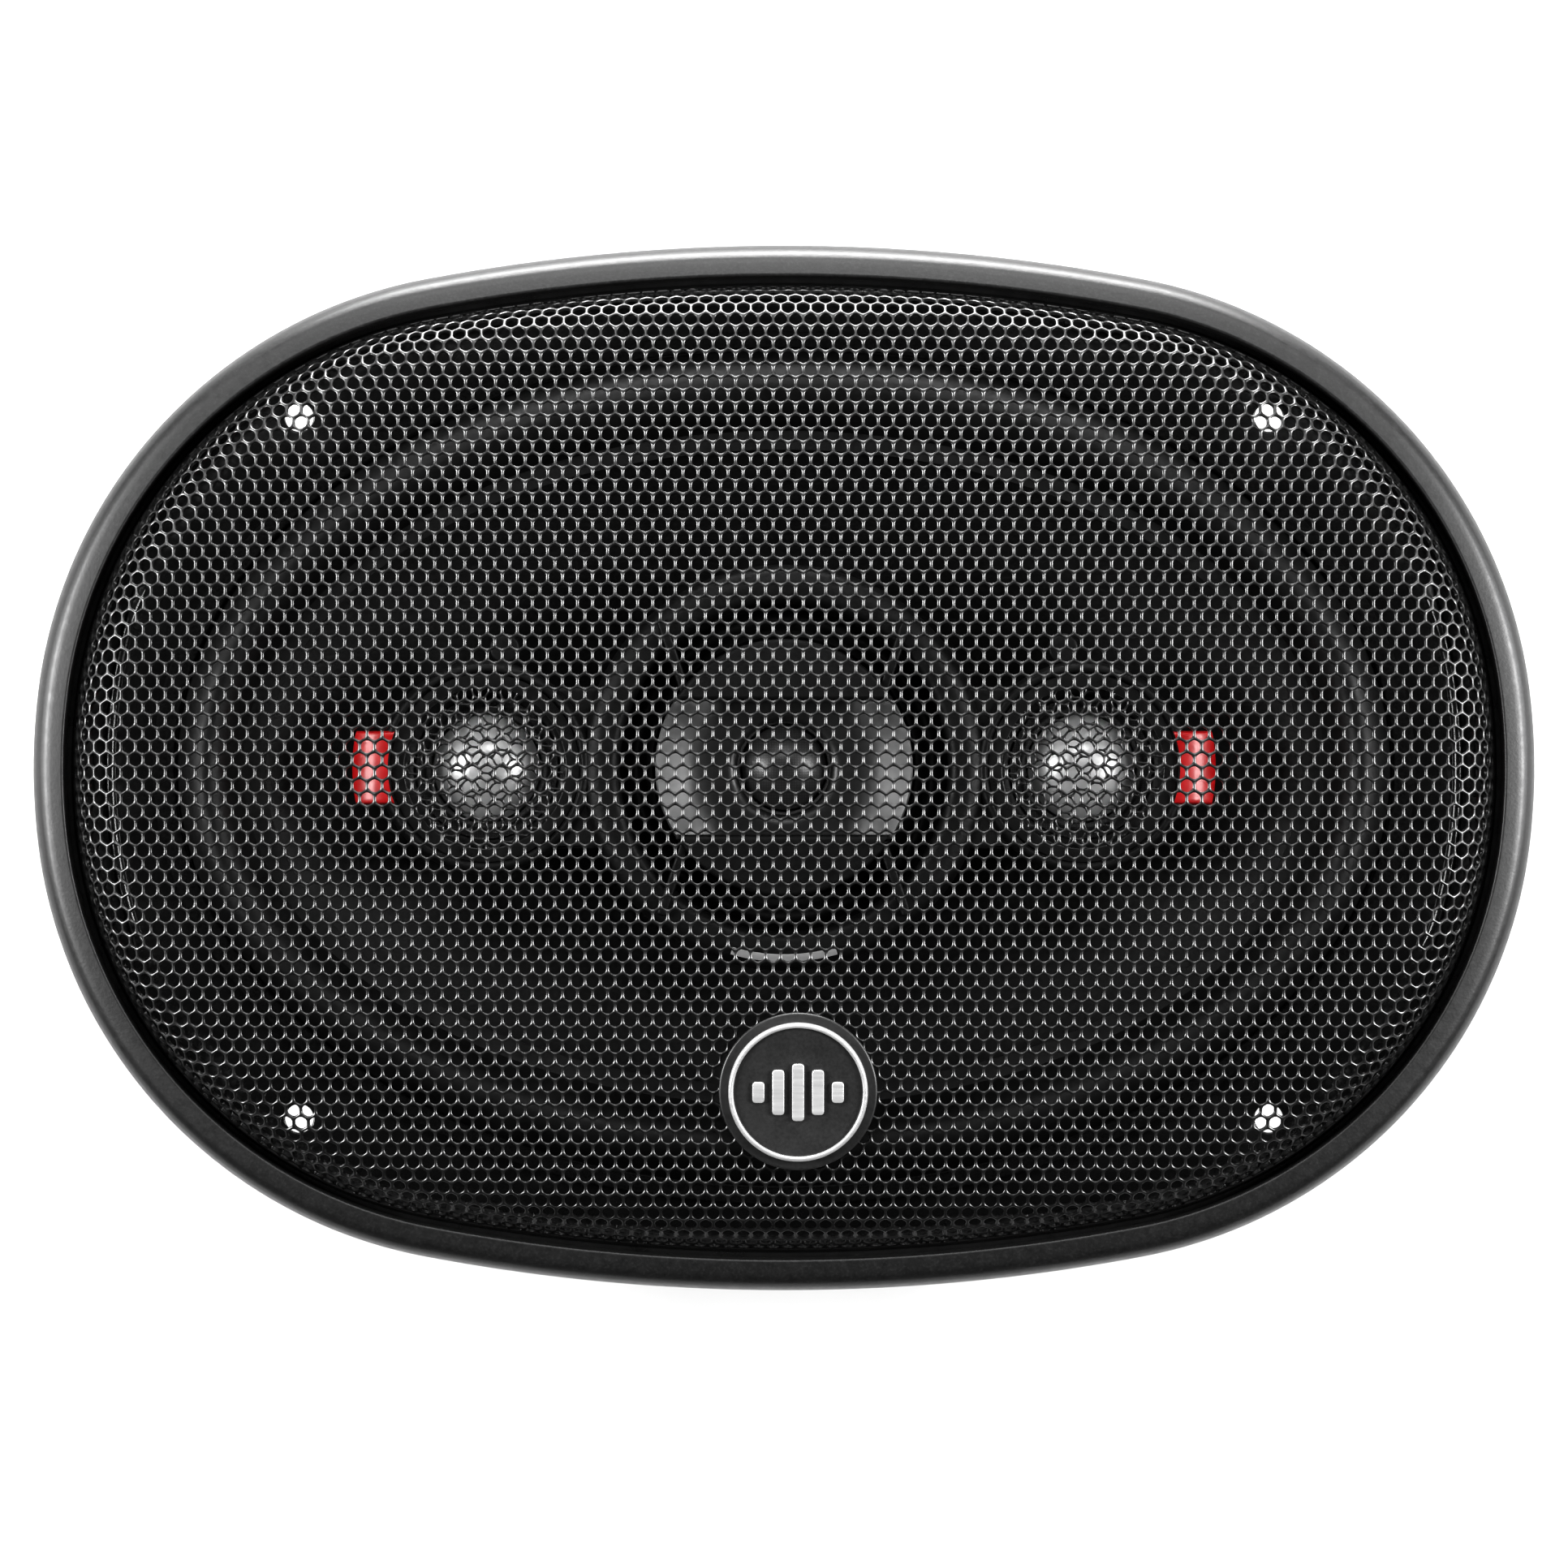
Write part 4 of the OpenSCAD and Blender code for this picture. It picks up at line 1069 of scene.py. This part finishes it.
def horn_plate():
    """The centre tweeter's plate: a slot that flares up to both ends, between two half-moons."""
    def floor_ring(r, drop=0.0):
        points = circle(r, steps)
        rise = np.clip((np.abs(points[:, 0]) - RISE_START) / (HORN_R - RISE_START), 0, 1)
        across = np.clip(np.abs(points[:, 1]) / SLOT_HALF, 0, 1)
        dished = (1.3 * across**2 - 0.6) * np.clip(rise * 2, 0, 1)
        return lifted(points, FLOOR_Z + RISE * rise**1.7 + dished - drop)

    steps = 160
    rings = [lifted(circle(HORN_R - 0.3, steps), 6), lifted(circle(HORN_R, steps), 6.3)]
    rings += [floor_ring(HORN_R, 0.3), floor_ring(HORN_R - 0.25, 0.05)]
    rings += [floor_ring(r) for r in np.linspace(HORN_R - 0.8, 9, 14)]
    rings += [floor_ring(r, drop) for r, drop in ((8.4, 0.08), (7.9, 0.35), (7.55, 0.8), (7.4, 1.4))]
    rings += [lifted(circle(r, steps), z) for r, z in ((7.4, 6.6), (9.5, 6.6), (9.5, 6))]
    stands_for(piece("horn_plate_glossy", loft(rings, closed=True), glossy_grey()), "horn_plate")
    turn = height_angle(SLOT_HALF, HORN_R)
    moon = rounded(arc((0, 0), HORN_R, turn, 180 - turn, 64, True), 0.5, 4, flat=25)
    shapes = [plate([moon * (1, sy)], 6.2, HORN_FACE, 0.7, 5) for sy in (1, -1)]
    for sx in (1, -1):
        for sy in (1, -1):
            shapes.append(horn_rib(np.array([sx * 15.4, sy * 11.6]), np.array([sx * 19.3, sy * 23.2])))
    moons = piece("horn_half_moons", merge(*shapes), moulded("half_moon_plastic", 0.003))
    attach(moons, BODY["horn_plate"])


def horn_rib(start, stop):
    """A low rib from start to stop, on the hub's face."""
    along = stop - start
    length = np.linalg.norm(along)
    turn = Matrix.Rotation(math.atan2(along[1], along[0]), 4, "Z")
    place = Matrix.Translation((*start, 0)) @ turn
    return moved(plate([rectangle(0, -0.8, length, 0.8, 0.5)], HUB_FACE - 0.4, 12.8, 0.4), place)


def ring_profile(line, thickness):
    """A closed profile from a sheet's front line."""
    return line + [(r, z - thickness) for r, z in reversed(line)]


def soft_edge(name, roll, thickness, material, steps=96, x=0):
    """A turned soft ring."""
    line = ring_profile(roll, thickness)
    obj = piece(f"{name}_soft", shifted(lathe(line, steps), x), material, smooth=60)
    joins(obj, name)


def small_surrounds():
    """The soft edges of the midrange and of the three tweeters."""
    t = np.linspace(0, 1, 17)
    arch = np.sin(np.pi * t)
    roll = [(20.9, 0.9), *zip(mix(21.8, 25.2, t), 0.9 + 1.5 * arch), (27.8, 0.9)]
    soft_edge("mid_surround", roll, 0.5, rubber(), steps=128)
    cloth = silk()
    roll = [*zip(mix(7, 8.1, t), 6.3 + 0.2 * arch), (9.2, 6.3)]
    soft_edge("centre_tweeter_surround", roll, 0.3, cloth)
    roll = [*zip(mix(8.75, 10, t), 1.9 + 0.4 * arch), (11.2, 1.9)]
    for side, name in SIDES:
        soft_edge(f"{name}_tweeter_surround", roll, 0.3, cloth, x=side * POD_X)


def dome(r, h, z0, z1):
    """A dome of radius r that rises h from z0, with its former down to z1, as a closed shell."""
    ball = (r * r + h * h) / (2 * h)
    centre_z = z0 + h - ball
    a = np.linspace(0, math.asin(r / ball), 17)
    cap, inside = [], []
    for t in a:
        cap.append((ball * math.sin(t), centre_z + ball * math.cos(t)))
        inside.append(((ball - 0.3) * math.sin(t), centre_z + (ball - 0.3) * math.cos(t)))
    skirt = [(r - 0.1, z0), (r - 0.1, z1), (r - 0.3, z1)]
    return lathe(cap + skirt + inside[::-1])


def domes():
    centre = piece("centre_dome_sealed", dome(6.6, 3.3, 6.6, 2.8), dome_dark(), smooth=60)
    stands_for(centre, "centre_tweeter_dome")
    silver = dome_silver()
    for side, name in SIDES:
        shape = shifted(dome(8.4, 4.6, 2, -1.4), side * POD_X)
        stands_for(piece(f"{name}_tweeter_dome_coated", shape, silver, smooth=60), f"{name}_tweeter_dome")


SCREEN_R = 14.9
SCREEN_Z = 9.6
SCREEN_PITCH = 2.6
SCREEN_HOLE = 2.26
# The screens' rows of holes run at this many degrees
SCREEN_TURN = 24


def screens():
    """The pierced screens over the side tweeters, each in a plain rim."""
    def surface(points):
        return lifted(turned(points, math.radians(SCREEN_TURN)), SCREEN_Z)

    def keep(centres):
        return np.linalg.norm(centres, axis=1) < SCREEN_R - 1.6

    centres = lattice(SCREEN_PITCH, (0.4, 0.3), 20, 20, keep)
    sheet = perforated(centres, SCREEN_PITCH, SCREEN_HOLE, surface, 0.3)
    inner = SCREEN_R - 2.2
    rim = lathe(rounded([(inner, 9), (SCREEN_R, 9), (SCREEN_R, 9.62), (inner, 9.62)], 0.15), 128)
    material = mesh_paint()
    for side, name in SIDES:
        shape = shifted(merge(sheet, rim), side * POD_X)
        obj = piece(f"{name}_tweeter_screen_pierced", shape, material, smooth=48)
        stands_for(obj, f"{name}_tweeter_screen")


# ---- parts finished from their CAD shape

def finished_parts():
    """Each CAD shape that is right as it is gets rounded edges and its own material."""
    steel, iron, grain = zinc(), ferrite(), moulded("shell_plastic", 0.005)
    gold, board, wound, paper = brass(), terminal_board(), copper(), former_paper()
    parts = [
        ("top_plate", steel, 0.3), ("magnet", iron, 0.3), ("t_yoke", steel, 0.4),
        ("motor_rivets", steel, 0.2), ("terminal_block", board, 0.3), ("positive_terminal", gold, 0.12),
        ("negative_terminal", gold, 0.12), ("terminal_rivets", gold, 0.12), ("bridge_post", steel, 0.2),
        ("post_washer", steel, 0.15), ("post_nut", steel, 0.3), ("bridge_rear_shell", grain, 0.25),
        ("bridge_screws", steel, 0.15), ("mid_basket", grain, 0.1), ("mid_yoke", steel, 0.2),
        ("mid_magnet", iron, 0.2), ("mid_top_plate", steel, 0.2), ("centre_tweeter_cup", steel, 0.15),
        ("centre_tweeter_magnet", iron, 0.15), ("voice_coil_former", paper, 0), ("voice_coil", wound, 0),
        ("mid_voice_coil", wound, 0), ("mid_cone", pulp(), 0), ("mid_dust_cap", pulp(), 0),
        ("grille_clips", grain, 0.2), ("badge_push_nuts", steel, 0.1)]
    for _, name in SIDES:
        parts += [(f"{name}_tweeter_cup", steel, 0.15), (f"{name}_tweeter_magnet", iron, 0.15),
                  (f"{name}_tweeter_faceplate", grain, 0.15)]
    for node, material, edge in parts:
        stands_for(refined(node, material, edge), node)


# ---- floor, light and camera

def floor():
    """A pale, even sheet that the speaker's back lies on."""
    look = Look("floor")
    sheet = look.finished(
        (look.noise(90), [(0.3, 0.64), (0.7, 0.67)]), (look.noise(30), 0.75, 0.85), (look.noise(2), 0.02))
    half = 3000.0
    corners = lifted([(-half, -half), (half, -half), (half, half), (-half, half)], YOKE_BACK)
    piece("floor", (corners, [(0, 1, 2, 3)]), sheet)


# Each light's name, azimuth, elevation, distance, size and radiance
SOFTBOXES = [
    ("softbox_top", 0, 8, 1.1, (0.9, 0.5), 32),
    ("softbox_top_high", 0, 56, 1.3, (0.8, 0.35), 9),
    ("softbox_left", -84, 38, 1.1, (0.42, 0.4), 37),
    ("softbox_right", 84, 38, 1.1, (0.42, 0.4), 38),
    ("softbox_left_low", -82, 12, 1.1, (0.45, 0.25), 7),
    ("softbox_right_low", 82, 12, 1.1, (0.45, 0.25), 9)]


def softbox(name, azimuth, elevation, distance, size, radiance):
    """A soft rectangular light that faces the middle. Azimuth 0 is toward +Y, and 90 toward +X."""
    a, e = math.radians(azimuth), math.radians(elevation)
    place = Vector((math.sin(a) * math.cos(e), math.cos(a) * math.cos(e), math.sin(e))) * distance
    light = bpy.data.lights.new(name, "AREA")
    light.shape = "RECTANGLE"
    light.size, light.size_y = size
    light.energy = radiance * math.pi * size[0] * size[1]
    obj = bpy.data.objects.new(name, light)
    obj.location = place
    obj.rotation_euler = (-place).to_track_quat("-Z", "Y").to_euler()
    bpy.context.scene.collection.objects.link(obj)


def studio():
    world = bpy.data.worlds.new("studio")
    world.use_nodes = True
    world.node_tree.nodes["Background"].inputs["Color"].default_value = (1, 1, 1, 1)
    world.node_tree.nodes["Background"].inputs["Strength"].default_value = 0.02
    bpy.context.scene.world = world
    for light in SOFTBOXES:
        softbox(*light)
    bpy.context.scene.view_settings.view_transform = "Standard"
    bpy.context.scene.view_settings.gamma = 0.85


def camera():
    """Straight in front of the speaker, a little below its middle."""
    data = bpy.data.cameras.new("camera")
    data.sensor_width = 36
    data.lens = 175
    data.clip_start, data.clip_end = 0.05, 20
    obj = bpy.data.objects.new("camera", data)
    obj.location = (0, -0.00256, 1.208)
    bpy.context.scene.collection.objects.link(obj)
    bpy.context.scene.camera = obj


grille_frame()
grille_mesh()
badge()
basket()
front_gasket()
surround()
woofer_cone()
spider()
leads_and_wires()
capacitors()
bridge_front()
accents()
hub_strip()
horn_plate()
small_surrounds()
domes()
screens()
finished_parts()
floor()
studio()
camera()
